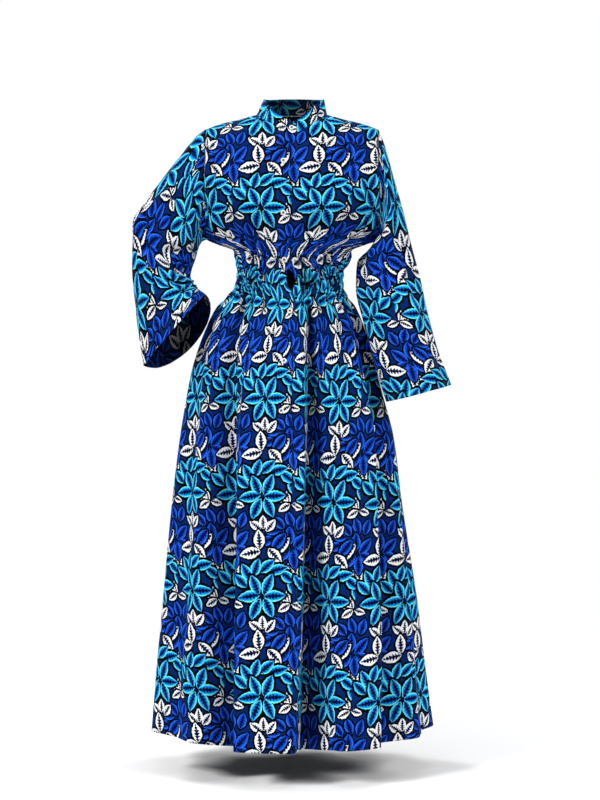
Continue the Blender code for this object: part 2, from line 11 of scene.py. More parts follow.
import bpy
import numpy as np
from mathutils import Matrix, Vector


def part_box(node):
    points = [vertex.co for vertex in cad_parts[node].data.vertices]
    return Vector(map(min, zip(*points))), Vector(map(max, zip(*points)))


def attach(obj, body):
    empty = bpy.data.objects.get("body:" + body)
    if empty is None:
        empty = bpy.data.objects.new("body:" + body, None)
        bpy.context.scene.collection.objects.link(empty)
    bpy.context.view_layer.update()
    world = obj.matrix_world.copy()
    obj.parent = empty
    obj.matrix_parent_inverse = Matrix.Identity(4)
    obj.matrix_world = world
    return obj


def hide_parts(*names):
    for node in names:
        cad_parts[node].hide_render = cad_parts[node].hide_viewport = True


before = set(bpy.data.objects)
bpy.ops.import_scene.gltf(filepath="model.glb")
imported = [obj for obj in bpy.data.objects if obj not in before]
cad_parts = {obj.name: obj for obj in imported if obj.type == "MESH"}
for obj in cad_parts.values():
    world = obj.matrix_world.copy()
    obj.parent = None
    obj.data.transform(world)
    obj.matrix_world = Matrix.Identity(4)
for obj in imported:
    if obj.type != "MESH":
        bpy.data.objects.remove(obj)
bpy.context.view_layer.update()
MM = 0.001
scene = bpy.context.scene

# %% [markdown]
# A garment is a handful of cut pieces, so its shape can be written as a few measures. A "drop" is the
# distance down from the base of the neck, as a tailor measures it, and an angle runs round the body of the
# dress from centre front, positive towards its own left. The tables are in millimetres and degrees, each
# with the names of its columns as its first row. They could have been read back from the solids, but
# written out they can be changed by hand.

# %% The measures of the dress
CLOTH_THICK, SEAM = 0.0011, 0.0003
NECK_HALF, NECK_FRONT, NECK_BACK = 0.083, 0.078, 0.062
NECK_DIP, NECK_RISE, NECK_SIDE_Z, DIP_SOFT = 0.049, 0.006, 0.003, 0.03
SHOULDER_OUT = 0.202
ARM_TOP, ARM_HALF, ARM_DEPTH = 0.029, 0.128, 0.050
ARM_CENTRE = ARM_TOP + ARM_HALF
ARM_BOTTOM = ARM_CENTRE + ARM_HALF
LAP, LAP_MIDDLE, LAP_FLAT = 0.032, 0.014, 0.034
LAP_INSET, INSET_FROM, INSET_FADE = 0.0024, 0.004, 0.016
GAPE_OVER, GAPE_UNDER, GAPE_TOP, GAPE_BOTTOM = 0.015, 0.038, 0.338, 0.426
SHIR_TOP, SHIR_STEP, SHIR_ROWS = 0.313, 0.022, 6
SHIR_BOTTOM = SHIR_TOP + SHIR_STEP * (SHIR_ROWS - 1)
HEM = 1.430

# Half widths and depths of the body's rings. lens is how much of a lens a ring is, in thousandths.
BODY = (
    ("drop", "right", "left", "front", "back", "lens"),
    (157, 202, 202, 114, 98, 0),
    (206, 200, 204, 121, 100, 400),
    (250, 199, 203, 117, 98, 800),
    (285, 197, 203, 111, 94, 1000),
    (297, 168, 170, 108, 91, 700),
    (309, 137, 140, 106, 89, 300),
    (332, 131, 137, 101, 86, 0),
    (362, 127, 119, 94, 80, 0),
    (392, 131, 118, 94, 82, 0),
    (426, 156, 132, 101, 92, 0),
    (475, 187, 158, 118, 118, 0),
    (530, 209, 175, 136, 140, 0),
    (590, 227, 191, 151, 158, 0),
    (660, 241, 212, 167, 176, 0),
    (755, 257, 239, 185, 195, 0),
    (900, 275, 256, 207, 217, 0),
    (1130, 297, 290, 233, 240, 0),
    (1300, 314, 310, 248, 252, 0),
    (1430, 325, 327, 258, 260, 0),
)
SHOULDER = (("out", "height"), (83, 3), (119, -5), (166, -16), (202, -29))
# How round the cloth falls from the shoulder to the armhole's middle, in thousandths
ROUND = (("out", "round"), (0, 400), (60, 800), (83, 1150), (140, 850), (202, 600))
# Where the upper front's edge runs
EDGE = (("drop", "across"), (0, -3), (230, -3), (336, -1), (400, 4), (454, 11), (520, 4), (568, -2),
        (690, -8), (1430, -9))

# The large folds of the skirt, with their angles at the waist and at the hem. height is negative for a
# valley, fade is a width in degrees, and lean is how far a crest rolls sideways over the valley beside it.
FOLDS = (
    ("waist", "hem", "height", "fade_before", "fade_after", "lean"),
    (-64, -52, 10, 8.0, 8.0, 0.0), (-44, -29, -62, 8.0, 4.6, 3.6), (-27, -17, 26, 4.0, 9.0, -4.6),
    (8, -5, 18, 8.0, 5.0, 5.4), (17, 9, -92, 4.8, 6.0, -3.2), (29, 22, 16, 4.4, 9.0, -2.2),
    (60, 33, 22, 11.0, 3.4, 2.2), (67, 40, -34, 3.4, 7.0, -1.6), (82, 56, 15, 7.0, 6.0, 1.4),
    (94, 72, -18, 4.0, 8.0, 0.0), (100, 88, 5, 8.0, 6.0, 0.0), (114, 104, -18, 5.0, 8.0, 0.0),
    (128, 121, 18, 8.0, 5.0, 1.2), (143, 137, -18, 5.0, 9.0, 0.0), (158, 154, 18, 9.0, 6.0, 1.0),
    (174, 171, -22, 5.0, 8.0, 0.0), (190, 189, 20, 8.0, 5.0, 1.4), (205, 206, -18, 6.0, 8.0, 0.0),
    (219, 222, 18, 9.0, 5.0, 1.2), (233, 239, -19, 5.0, 8.0, 0.0), (247, 255, 16, 7.0, 6.0, 0.0),
    (262, 272, -14, 5.0, 8.0, 0.0), (277, 288, 14, 8.0, 6.0, 0.0), (292, 305, -20, 6.0, 8.0, 0.0),
    (308, 321, 10, 9.0, 6.0, 0.8), (324, 335, -14, 7.0, 4.0, 0.0),
)
# Share of their height that the folds have reached, in hundredths
SWELL = (("drop", "share"), (430, 0), (480, 15), (560, 33), (700, 55), (900, 75), (1200, 92), (1430, 100))
print("tables:", len(BODY) - 1, "rings,", len(FOLDS) - 1, "large folds")

# %% [markdown]
# A table gives a measure at a few places, and the cloth needs it everywhere between them. A cubic curve
# with limited slopes passes through every entry and never swings past it, so a waist stays a waist. A
# plain polynomial would overshoot, and straight lines would show as kinks in the cloth.

# %% Reading a table smoothly
def column(table, name):
    """One named column of a table, in the table's own unit."""
    place = table[0].index(name)
    return np.array([row[place] for row in table[1:]], dtype=float)


def smooth(at, places, values):
    """Cubic pieces through (places, values). Each inner slope is the harmonic mean of its two neighbours'
    rates, or 0 where they change sign, so the curve never overshoots."""
    step = np.diff(places)
    rate = np.diff(values) / step
    product, total = rate[:-1] * rate[1:], rate[:-1] + rate[1:]
    total[total == 0] = 1.0
    slope = np.concatenate([rate[:1], np.where(product > 0, 2 * product / total, 0.0), rate[-1:]])
    piece = np.clip(np.searchsorted(places, at) - 1, 0, len(step) - 1)
    t = np.clip((at - places[piece]) / step[piece], 0.0, 1.0)
    rise = step[piece]
    return (values[piece] * (1 + 2 * t) * (1 - t) ** 2 + slope[piece] * rise * t * (1 - t) ** 2
            + values[piece + 1] * t * t * (3 - 2 * t) - slope[piece + 1] * rise * t * t * (1 - t))


def read(table, name, at):
    """A column at places given in metres: in metres, or a share where it holds thousandths."""
    return MM * smooth(np.asarray(at, float) / MM, column(table, table[0][0]), column(table, name))


def unit(vectors):
    """Vectors of length 1."""
    return vectors / np.maximum(np.linalg.norm(vectors, axis=-1, keepdims=True), 1e-12)


def bump(distance, width):
    """A soft bell: 1 at distance 0, fading over width."""
    return np.exp(-(distance / width) ** 2)


def wave(degrees, phase=0.0):
    """A sine of an angle in degrees, with its phase in radians."""
    return np.sin(np.radians(degrees) + phase)


def wrapped(angle):
    """An angle in degrees, brought between -180 and 180."""
    return (angle + 180) % 360 - 180


print("waist half width:", float(read(BODY, "right", 0.362)), "m")

# %% [markdown]
# The skirt hangs in large folds, and near the waist in many small gathers that run out of the elastic.
# Both are ridges along the cloth, so both are bells across the angle that fade along the drop. The large
# ones come from the table above. The small ones are drawn from seeded chance, because nobody places
# gathers one by one: only their number, height and reach are chosen.

# %% Folds and gathers
FOLD_SETTLE = 0.7
GATHER_COUNT, GATHER_SEED, GATHER_WIDENS = 62, 11, 1.2
START_BELOW, START_ABOVE = 0.008, 0.006
# Deeper ones at centre front, listed one by one, and then the drawn ones
DEEP_GATHERS = (
    ("angle", "height", "width", "reach_down", "reach_up"),
    (17, -19, 2.0, 360, 18), (30, -13, 1.8, 150, 30), (24, 7, 1.6, 170, 26), (38, 7, 2.0, 120, 30),
    (-23, -9, 1.7, 170, 26), (-56, 7, 2.4, 190, 30), (-43, -16, 2.8, 240, 24), (50, 7, 2.2, 150, 40),
    (65, -17, 3.2, 220, 40),
)
chance = np.random.default_rng(GATHER_SEED)
jitter = chance.uniform(-0.32, 0.32, GATHER_COUNT)
heights, widths, reaches_down, reaches_up = (
    chance.uniform(low, high, GATHER_COUNT) for low, high in ((3.0, 9.5), (1.1, 2.2), (70, 330), (24, 100)))
pucker_drift = np.cumsum(chance.uniform(-0.9, 0.9, 2 * SHIR_ROWS + 3))
angles = 360 / GATHER_COUNT * (np.arange(GATHER_COUNT) + jitter)
ALL_GATHERS = (*DEEP_GATHERS[1:], *zip(angles, heights, widths, reaches_down, reaches_up))


def skirt_share(drop):
    """Share of the skirt above a drop: 0 at the last elastic row and 1 at the hem."""
    return np.clip((drop - SHIR_BOTTOM) / (HEM - SHIR_BOTTOM), 0, 1)


def large_folds(angle, drop):
    """How far the large folds push the skirt out, and how many degrees they roll it sideways."""
    share = read(SWELL, "share", drop) / MM / 100
    settle = skirt_share(drop) ** FOLD_SETTLE
    out, roll = np.zeros(angle.shape), np.zeros(angle.shape)
    for waist, hem, height, before, after, lean in FOLDS[1:]:
        past = wrapped(angle - waist - (hem - waist) * settle)
        bell = bump(past, np.where(past < 0, before, after))
        out += height * MM * bell
        roll += lean * bell
    return share * out, share * roll


def gathers(angle, drop):
    """Small ridges that start at the first and last elastic row and fade, each over its own reach."""
    below = np.maximum(drop - SHIR_BOTTOM, 0)
    above = np.maximum(SHIR_TOP - drop, 0)
    height = np.zeros(angle.shape)
    for where, tall, wide, down, up in ALL_GATHERS:
        reach = bump(below, MM * down) * bump(above, MM * up)
        spread = wide * (1 + GATHER_WIDENS * below / (MM * down))
        height += MM * tall * reach * bump(wrapped(angle - where), spread)
    return height * ((1 - bump(below, START_BELOW)) + (1 - bump(above, START_ABOVE)))


print("gathers:", len(ALL_GATHERS))

# %% [markdown]
# Six rows of elastic draw the waist in. Between two rows the cloth stands up in narrow puckers, which are
# the size of a sine with its valley rounded, made uneven by slower and finer waves. Just above, the bodice
# swells over the bust, falls back and sags over the first row. These could be simulated as cloth, but then
# nobody could say where a pucker or the sag comes.

# %% Shirring, bust and hem
PUCKER_COUNT, PUCKER_HEIGHT, PUCKER_VALLEY, PUCKER_LEVEL = 78, 0.0046, 0.015, 1.5
PUCKER_FINER, FINER_SHARE = 1.7, 0.25
SHIR_EDGE, SHIR_FADE = 0.45, 0.35
ELASTIC_PULL = 0.0005
HEM_SAG, VALLEY_SAG = 0.009, 0.12
# Height, drop and reach of the sag over the first row, of the bust and of the hollow below it
ROLL, ROLL_DROP, ROLL_REACH = 0.008, SHIR_TOP - 0.018, 0.014
BUST, BUST_DROP, BUST_REACH, BUST_ANGLE, BUST_WIDE = 0.011, 0.205, 0.045, 30, 26
HOLLOW, HOLLOW_DROP, HOLLOW_REACH, HOLLOW_BROAD = 0.018, 0.272, 0.026, 0.6


def shirring(angle, drop):
    """The puckers' height at each point, and how far the elastic pulls its rows in between them."""
    rows = (drop - SHIR_TOP) / SHIR_STEP
    inside = (np.clip((rows + SHIR_EDGE) / SHIR_FADE, 0, 1)
              * np.clip((SHIR_ROWS - 1 + SHIR_EDGE - rows) / SHIR_FADE, 0, 1))
    drift = np.interp(rows * 2, np.arange(-2, len(pucker_drift) - 2), pucker_drift)
    turn = np.radians(PUCKER_COUNT * angle + 9 * drift) / 2 + 1.1 * wave(7 * angle)
    pucker = 2 * np.sqrt(np.sin(turn) ** 2 + PUCKER_VALLEY) - PUCKER_LEVEL
    finer = wave(PUCKER_FINER * PUCKER_COUNT * angle - 14 * drift)
    crest = pucker * (0.75 + 0.25 * wave(11 * angle + 50 * rows)) + FINER_SHARE * finer
    puff = 0.5 - 0.5 * np.cos(2 * math.pi * rows)
    return inside * (PUCKER_HEIGHT * (0.7 + 0.3 * puff) * crest + ELASTIC_PULL * (2 * puff - 1))


def bodice_swell(angle, drop):
    """The bodice fills out over the bust, falls back below it and sags over the first elastic row in an
    uneven roll."""
    ahead = np.cos(np.radians(angle))
    roll = ROLL * (0.75 + 0.25 * wave(5 * angle, 0.6)) * ahead ** 2 * bump(drop - ROLL_DROP, ROLL_REACH)
    sides = bump(wrapped(angle - BUST_ANGLE), BUST_WIDE) + bump(wrapped(angle + BUST_ANGLE), BUST_WIDE)
    bust = BUST * sides * bump(drop - BUST_DROP, BUST_REACH)
    hollow = HOLLOW * np.maximum(ahead, 0) ** HOLLOW_BROAD * bump(drop - HOLLOW_DROP, HOLLOW_REACH)
    return roll + bust - hollow


def hem_sag(angle, drop):
    """The hem hangs lower in front and behind than at the sides, and lower in the deep folds."""
    valley = np.maximum(-large_folds(angle, drop)[0], 0)
    return skirt_share(drop) ** 2 * (HEM_SAG * np.cos(np.radians(2 * angle)) + VALLEY_SAG * valley)


print("puckers in a row:", PUCKER_COUNT)

# %% [markdown]
# Every point of the body is found from an angle and a drop: a ring that is an ellipse at the skirt and
# more of a lens under the armholes, pushed out by the folds. Above the armhole's middle the cloth runs up
# to the neckline and the shoulder seam instead, as the yoke.

# %% The form of the body
ANGLE_STEPS = 5


def half_width(drop, right):
    """Half width of the ring at a drop, on the dress's right or left."""
    return np.where(right, read(BODY, "right", drop), read(BODY, "left", drop))


def across_share(quarter, lens):
    """Share of the half width reached at 0 to 90 degrees from the middle: a sine, or a straight line
    where the ring is a lens."""
    return (1 - lens) * np.sin(np.radians(quarter)) + lens * quarter / 90


def angle_of(x, drop):
    """The angle at which the ring passes x: Newton's steps on the share above, from an arc sine."""
    share, lens = np.abs(x) / half_width(drop, x < 0), read(BODY, "lens", drop)
    quarter = np.degrees(np.arcsin(share))
    for _ in range(ANGLE_STEPS):
        slope = (1 - lens) * np.cos(np.radians(quarter)) * math.pi / 180 + lens / 90
        quarter = quarter - (across_share(quarter, lens) - share) / slope
    return np.sign(x) * quarter


def off_the_lap(x, facing):
    """0 on the buttoned overlap, which stays flat, and 1 away from it. facing is -1 in front, 1 behind."""
    return 1 - np.exp(-((x + LAP_MIDDLE) / LAP_FLAT) ** 4) * (facing < 0)


def body_point(angle, drop, facing, fine=True):
    """Points of the body from the armhole's middle down, for arrays of angles and drops. Without the fine
    forms it is the body with its large folds only."""
    out, roll = large_folds(angle, drop)
    turned = angle + roll
    right = np.sin(np.radians(turned)) < 0
    quarter = np.abs(turned) if facing < 0 else np.abs(180 - turned)
    half = half_width(drop, right)
    depth = read(BODY, "front" if facing < 0 else "back", drop)
    lip = ARM_DEPTH * np.sqrt(np.clip(1 - ((drop - ARM_CENTRE) / ARM_HALF) ** 2, 0, 1))
    across = np.where(right, -1, 1) * across_share(quarter, read(BODY, "lens", drop))
    ahead = np.cos(np.radians(quarter))
    x, y = half * across, facing * (lip + (depth - lip) * ahead)
    if fine:
        small = gathers(angle, drop) + shirring(angle, drop) + bodice_swell(angle, drop)
        out = out + small * off_the_lap(x, facing)
    tilt_x, tilt_y = across / half, facing * ahead / depth
    push = out / np.hypot(tilt_x, tilt_y)
    return np.stack([x + push * tilt_x, y + push * tilt_y, -drop - hem_sag(angle, drop)], axis=-1)


def top_edge(x, facing):
    """Depth and height of the neckline, half an ellipse with a soft V in front, and of the shoulder
    seam."""
    across = np.minimum(np.abs(x) / NECK_HALF, 1)
    reach = NECK_FRONT if facing < 0 else NECK_BACK
    y = facing * (SEAM / 2 + reach * np.sqrt(1 - across ** 2))
    lowest, side = math.sqrt(DIP_SOFT), math.sqrt(1 + DIP_SOFT)
    dip = (side - np.sqrt(across ** 2 + DIP_SOFT)) / (side - lowest)
    neck_z = NECK_SIDE_Z + (-NECK_DIP * dip if facing < 0 else NECK_RISE * (1 - across ** 2))
    shoulder_z = read(SHOULDER, "height", np.clip(np.abs(x), NECK_HALF, SHOULDER_OUT))
    return y, np.where(across < 1, neck_z, shoulder_z)


def yoke_point(angle, share, facing):
    """Points between the top edge, at share 0, and the ring at the armhole's middle, at share 1: part of
    a quarter ellipse and part of a flat slope, mixed by how round the cloth falls there."""
    ring = body_point(angle, np.full(angle.shape, ARM_CENTRE), facing)
    top_y, top_z = top_edge(ring[..., 0], facing)
    turn = share * math.pi / 2
    bend = read(ROUND, "round", np.abs(ring[..., 0]))
    ahead = bend * np.sin(turn) + (1 - bend) * share
    down = bend * (1 - np.cos(turn)) + (1 - bend) * share
    return np.stack([ring[..., 0], top_y + (ring[..., 1] - top_y) * ahead,
                     top_z + (ring[..., 2] - top_z) * down], axis=-1)


print("hem at", body_point(np.array([[0.0]]), np.array([[HEM]]), -1)[0, 0].round(3))

# %% [markdown]
# A sheet of cloth needs three more things: which way it faces, so that creases can be pressed into it;
# its flat pattern, the shape it was cut to before it was sewn, so that the print lies on it as it lay on
# the bolt; and a little thickness. The flat pattern goes into a UV map in real metres. A sculpted mesh
# could be unwrapped by Blender instead, but then the print would not run on from piece to piece.

# %% Making meshes from grids of points
TURNED_OVER = [0, 3, 2, 1]


def numbered(shape, first=0):
    """The points of one or more grids, numbered in order."""
    return first + np.arange(math.prod(shape)).reshape(shape)


def quads(index, around=False, along=False):
    """Quads between the neighbours in a grid of point numbers. around joins each row's last point to its
    first, and along joins the last row to the first."""
    if around:
        index = np.concatenate([index, index[..., :1]], axis=-1)
    if along:
        index = np.concatenate([index, index[..., :1, :]], axis=-2)
    corners = (index[..., :-1, :-1], index[..., :-1, 1:], index[..., 1:, 1:], index[..., 1:, :-1])
    return np.stack(corners, axis=-1).reshape(-1, 4)


def new_piece(name, points, faces, finish=None, flat=None):
    """A smooth mesh object at the origin. flat is its UV map, a pair for each corner of each face."""
    mesh = bpy.data.meshes.new(name)
    mesh.from_pydata(points.reshape(-1, 3).tolist(), [], faces)
    if flat is not None:
        mesh.uv_layers.new(name="Flat").data.foreach_set("uv", flat.reshape(-1).astype(np.float32))
    if finish:
        mesh.materials.append(finish)
    mesh.shade_smooth()
    piece = bpy.data.objects.new(name, mesh)
    scene.collection.objects.link(piece)
    return piece


def running_length(points, axis=0):
    """Length along a line of points, or along one direction of a grid, from 0 at its first point."""
    step = np.linalg.norm(np.diff(points, axis=axis), axis=-1)
    return np.insert(np.cumsum(step, axis=axis), 0, 0, axis=axis)


# %% Making cloth
def outward_normals(points, closed=False):
    """Unit normals of a grid, from the cross product of its two directions, turned away from the middle."""
    if closed:
        across = np.roll(points, -1, axis=1) - np.roll(points, 1, axis=1)
    else:
        across = np.gradient(points, axis=1)
    normals = unit(np.cross(np.gradient(points, axis=0), across))
    middle = points.mean(axis=1, keepdims=True) if closed else points * np.array([0, 0, 1])
    return normals * (1 if ((points - middle) * normals).sum() > 0 else -1)


def cloth(name, points, flat, closed=False, thick=CLOTH_THICK):
    """A sheet with faces that look outwards, its flat pattern as the UV map Flat, and a wall inside it
    that takes the second material. points are rows by columns by 3, and flat has one column more where
    the sheet is a tube."""
    faces = quads(numbered(points.shape[:2]), around=closed)
    corners = flat.reshape(-1, 2)[quads(numbered(flat.shape[:2]))]
    listed = points.reshape(-1, 3)
    facing = np.cross(listed[faces[:, 2]] - listed[faces[:, 0]], listed[faces[:, 3]] - listed[faces[:, 1]])
    normals = outward_normals(points, closed).reshape(-1, 3)
    if (facing * normals[faces[:, 0]]).sum() < 0:
        faces, corners = faces[:, ::-1], corners[:, ::-1]
    piece = new_piece(name, points, faces.tolist(), flat=corners)
    wall = piece.modifiers.new("Wall", "SOLIDIFY")
    wall.thickness, wall.offset, wall.use_quality_normals = thick, -1, True
    # The wall's inner side takes the second material, the print in painted shade
    wall.material_offset = 1
    print(name, len(faces) * 4, "triangles with its wall")
    return piece


def press(points, normals, flat, creases, keep):
    """Presses creases into a sheet: each is a soft trough or ridge round a short curved line of its flat
    pattern, so deep at its middle, with keep as the share that each point may move."""
    depth = np.zeros(points.shape[:2])
    for across, up, turn, length, width, height, bow in creases[1:]:
        lean = math.radians(turn)
        dx, dy = flat[..., 0] - across * MM, flat[..., 1] - up * MM
        along = (dx * math.sin(lean) + dy * math.cos(lean)) / (length * MM)
        aside = dx * math.cos(lean) - dy * math.sin(lean) - bow * MM * along ** 2
        depth += height * MM * bump(aside, width * MM) * np.exp(-along ** 4)
    return points + normals * (depth * keep)[..., None]


def flat_size(flat):
    """Width, length and area of a flat pattern, the area as the sum of its quads."""
    size = flat.reshape(-1, 2).max(axis=0) - flat.reshape(-1, 2).min(axis=0)
    one, two = flat[1:, 1:] - flat[:-1, :-1], flat[1:, :-1] - flat[:-1, 1:]
    area = 0.5 * np.abs(one[..., 0] * two[..., 1] - one[..., 1] * two[..., 0]).sum()
    return float(size[0]), float(size[1]), float(area)


# %% [markdown]
# The two fronts and the back are each one cut piece from neck to hem, with no waist seam. Their rows are
# closest together in the shirring, where the form is finest. The flat pattern is wider than the body at
# the waist, where the elastic gathers it, and its columns of print stay upright while the side seams flare.

# %% Rows and flat widths of the body pieces
YOKE_ROWS = 28
# Columns, and runs of rows as (from, to, count) in millimetres, of a front and of the back
FRONT_GRID = (218, ((157, 285, 32), (285, 313, 13), (313, 423, 54), (423, 560, 28), (560, 1430, 62)))
BACK_GRID = (262, ((157, 285, 22), (285, 313, 10), (313, 423, 46), (423, 560, 20), (560, 1430, 54)))
# How many times wider than the body the flat cloth is, in thousandths
FULLNESS = (("drop", "ratio"), (157, 1000), (250, 1030), (285, 1280), (313, 2000), (330, 2350), (423, 2350),
            (480, 1800), (560, 1380), (700, 1150), (900, 1050), (1430, 1020))
FULLNESS_BEND = 1.20
LEFT_LEAN, LEAN_FROM, LEAN_FADE = 0.06, 0.50, 0.40
EDGE_REST, UPRIGHT_FADE = 0.012, 0.30
GAPE_SHAPE_OVER, GAPE_SHAPE_UNDER = 2, 0.8


def lap_x(drop, side):
    """Where a front's edge runs: the upper one, side -1, on the line of the closing, and the under one an
    overlap away. Between two buttons at the waist both draw aside."""
    edge = read(EDGE, "across", drop)
    opening = np.sin(math.pi * np.clip((drop - GAPE_TOP) / (GAPE_BOTTOM - GAPE_TOP), 0, 1))
    if side < 0:
        return edge - GAPE_OVER * opening ** GAPE_SHAPE_OVER
    return edge - LAP + GAPE_UNDER * opening ** GAPE_SHAPE_UNDER


def panel_points(first_angle, last_angle, grid, facing):
    """Rows of points from the top edge to the hem, and the same without the fine forms. first_angle and
    last_angle give the panel's two edges at an array of drops, and the columns are even in angle."""
    columns, runs = grid
    steps = [np.linspace(start, end, count, endpoint=False) for start, end, count in runs]
    drops = MM * np.concatenate(steps + [np.array([runs[-1][1]])])[:, None]
    start, end = first_angle(drops), last_angle(drops)
    angles = start + (end - start) * np.linspace(0, 1, columns)[None, :]
    all_drops = np.broadcast_to(drops, angles.shape)
    rise = np.linspace(0, 1, YOKE_ROWS, endpoint=False)[:, None]
    top_angles = np.broadcast_to(angles[:1], (YOKE_ROWS, columns))
    yoke = yoke_point(top_angles, np.broadcast_to(rise, top_angles.shape), facing)
    return [np.concatenate([yoke, body_point(angles, all_drops, facing, fine)]) for fine in (True, False)]


def panel_flat(points, facing, lean):
    """The flat pattern. Up: the length along each column down to the elastic, and from there, more and
    more, the length along the middle one. Across: the ring's length from the middle, plus the gathered
    cloth, which is the fullness less one times the whole length times a power of the share, so that most
    of it lies towards the sides. Below the waist the print may lean off the upright as the cloth hangs."""
    columns = points.shape[1]
    middle = 0 if facing < 0 else columns // 2
    run = running_length(points[..., :2], 1)
    run = run - run[:, middle:middle + 1]
    whole = np.abs(run[:, -1:])
    fullness = read(FULLNESS, "ratio", np.maximum(-points[:, :1, 2], ARM_CENTRE))
    gathered = (fullness - 1) * whole * (np.abs(run) / whole) ** FULLNESS_BEND
    way = np.sign(points[-1, -1, 0] - points[-1, 0, 0])
    across = way * np.sign(run) * (np.abs(run) + gathered)
    straight = points.copy()
    if facing < 0:
        across = across + points[:, :1, 0]
        straight[..., 0] -= points[:, :1, 0] * (1 - np.linspace(0, 1, columns))
    across[:YOKE_ROWS] = across[YOKE_ROWS]
    up = -running_length(straight)
    up -= up[YOKE_ROWS].copy()
    body, drop = up[YOKE_ROWS:], -points[YOKE_ROWS:, :, 2]
    past = np.clip((drop - SHIR_TOP) / UPRIGHT_FADE, 0, 1)
    upright = body[:, middle:middle + 1].copy()
    body[:] = upright + (body - upright) * (1 - past) ** 2 * (1 + 2 * past)
    body += lean * np.clip((drop - LEAN_FROM) / LEAN_FADE, 0, 1) * across[YOKE_ROWS:]
    return np.stack([across, up], axis=-1)


def panel_keep(points, facing):
    """1 inside a panel and 0 at its seams and on the lap, so that neighbouring pieces stay together."""
    keep = 1 - bump(np.linalg.norm(points - points[:1], axis=-1), EDGE_REST)
    for seam in ([-1] if facing < 0 else [0, -1]):
        away = np.linalg.norm(points[:, :, :2] - points[:, [seam], :2], axis=-1)
        keep = keep * (1 - bump(away, EDGE_REST))
    return keep * off_the_lap(points[..., 0], facing)


# %% [markdown]
# Cloth that is worn never lies quite smooth. Each crease below is one short stroke of the iron gone
# wrong: a place on the flat pattern, a direction, a length and width, and how far it stands out or sinks
# in. They follow the pull from the shoulder, the bust and the sleeves, and the back gets its own.

# %% Creases of the bodice and skirt
# turn is in degrees from upright, and bow is how far the ends bend off the line of the middle
CREASE_COLUMNS = ("across", "up", "turn", "half_length", "width", "height", "bow")
RIGHT_CREASES = (
    CREASE_COLUMNS,
    (-212, 30, 8, 95, 9, 3.2, 10), (-190, 20, 4, 110, 8, -3.0, 12), (-236, -20, 14, 80, 8, -2.6, -8),
    (-170, -70, 24, 60, 9, 2.6, 6), (-150, -95, 30, 46, 7, -2.4, 5), (-216, -92, 40, 42, 8, 3.4, 5),
    (-110, 60, 12, 70, 12, 1.8, 8), (-70, -110, 6, 40, 8, 2.2, 3), (-96, -112, 9, 38, 7, -2.0, 3),
    (-126, -110, 14, 42, 8, 2.4, 4), (-60, 96, -18, 52, 9, 1.6, 5), (-110, -520, 5, 150, 16, 2.6, 14),
    (-210, -640, 8, 170, 15, -2.8, -12), (-300, -900, 12, 200, 18, 3.0, 10),
    (-150, -980, 3, 190, 15, -2.4, 12),
    (-380, -1150, 14, 160, 16, 2.6, -10), (-230, -1240, 6, 110, 15, 2.2, 8),
)
LEFT_CREASES = (
    CREASE_COLUMNS,
    (206, 34, -5, 120, 8, 3.8, -10), (184, 26, -3, 120, 8, -3.4, -8), (228, 10, -8, 110, 7, -3.2, 8),
    (163, -10, -6, 110, 9, 2.6, -8), (236, -70, -30, 50, 8, 3.0, 5), (198, -96, -24, 46, 8, -2.8, 4),
    (158, -92, -20, 48, 9, 2.6, -5), (96, -112, -8, 40, 8, 2.2, -3), (122, -108, -12, 42, 7, -2.2, -4),
    (66, -112, -4, 38, 8, 1.8, 3), (70, 92, 16, 52, 9, 1.6, -5), (110, 50, -10, 66, 12, 1.6, -6),
    (120, -560, -4, 160, 16, 2.6, -14), (220, -660, -7, 170, 15, -2.8, 12),
    (310, -920, -11, 200, 17, 3.0, -9),
    (170, -1010, -4, 190, 15, -2.4, -12), (390, -1160, -13, 150, 16, 2.6, 10),
    (250, -1260, -5, 100, 15, 2.2, -8),
)
BACK_CREASES = (
    CREASE_COLUMNS,
    (-60, 70, 4, 100, 14, 2.4, 8), (64, 66, -5, 100, 14, -2.2, -8), (-150, 20, 8, 110, 9, 3.0, 10),
    (-176, 10, 10, 110, 8, -2.8, 8), (156, 16, -8, 110, 9, 3.0, -10), (182, 6, -9, 105, 8, -2.8, -8),
    (-110, -90, 12, 50, 9, 2.6, 5), (-40, -100, 3, 44, 9, -2.2, 3), (36, -98, -4, 46, 9, 2.4, -3),
    (104, -92, -12, 50, 9, -2.4, -5), (-205, -80, 26, 50, 8, 2.8, 5), (208, -82, -26, 50, 8, 2.8, -5),
    (-130, -560, 5, 160, 16, 2.6, 12), (20, -640, 0, 180, 16, -2.6, -12), (170, -600, -6, 170, 16, 2.6, 10),
    (-290, -920, 10, 200, 17, -2.8, 10), (-60, -1010, 2, 190, 16, 2.4, 12),
    (240, -980, -8, 190, 16, -2.6, -10), (380, -1180, -12, 140, 16, 2.4, 8),
    (-390, -1160, 12, 150, 16, 2.6, -8),
)
print("creases of the back:", len(BACK_CREASES) - 1)


# %% The two fronts and the back
def panel(first_angle, last_angle, grid, facing, creases, lean=0.0):
    """A body piece: its creased points and its flat pattern, which is taken without the fine forms."""
    points, plain = panel_points(first_angle, last_angle, grid, facing)
    flat = panel_flat(plain, facing, lean)
    return press(points, outward_normals(points), flat, creases, panel_keep(points, facing)), flat


def seam_at(degrees):
    """A side seam: the same angle at every drop."""
    return lambda drop: np.full(drop.shape, float(degrees))


def front_panel(side, creases, lean=0.0):
    """A front, from its edge at the closing to its side seam."""
    return panel(lambda drop: angle_of(lap_x(drop, side), drop), seam_at(90 * side),
                 FRONT_GRID, -1, creases, lean)


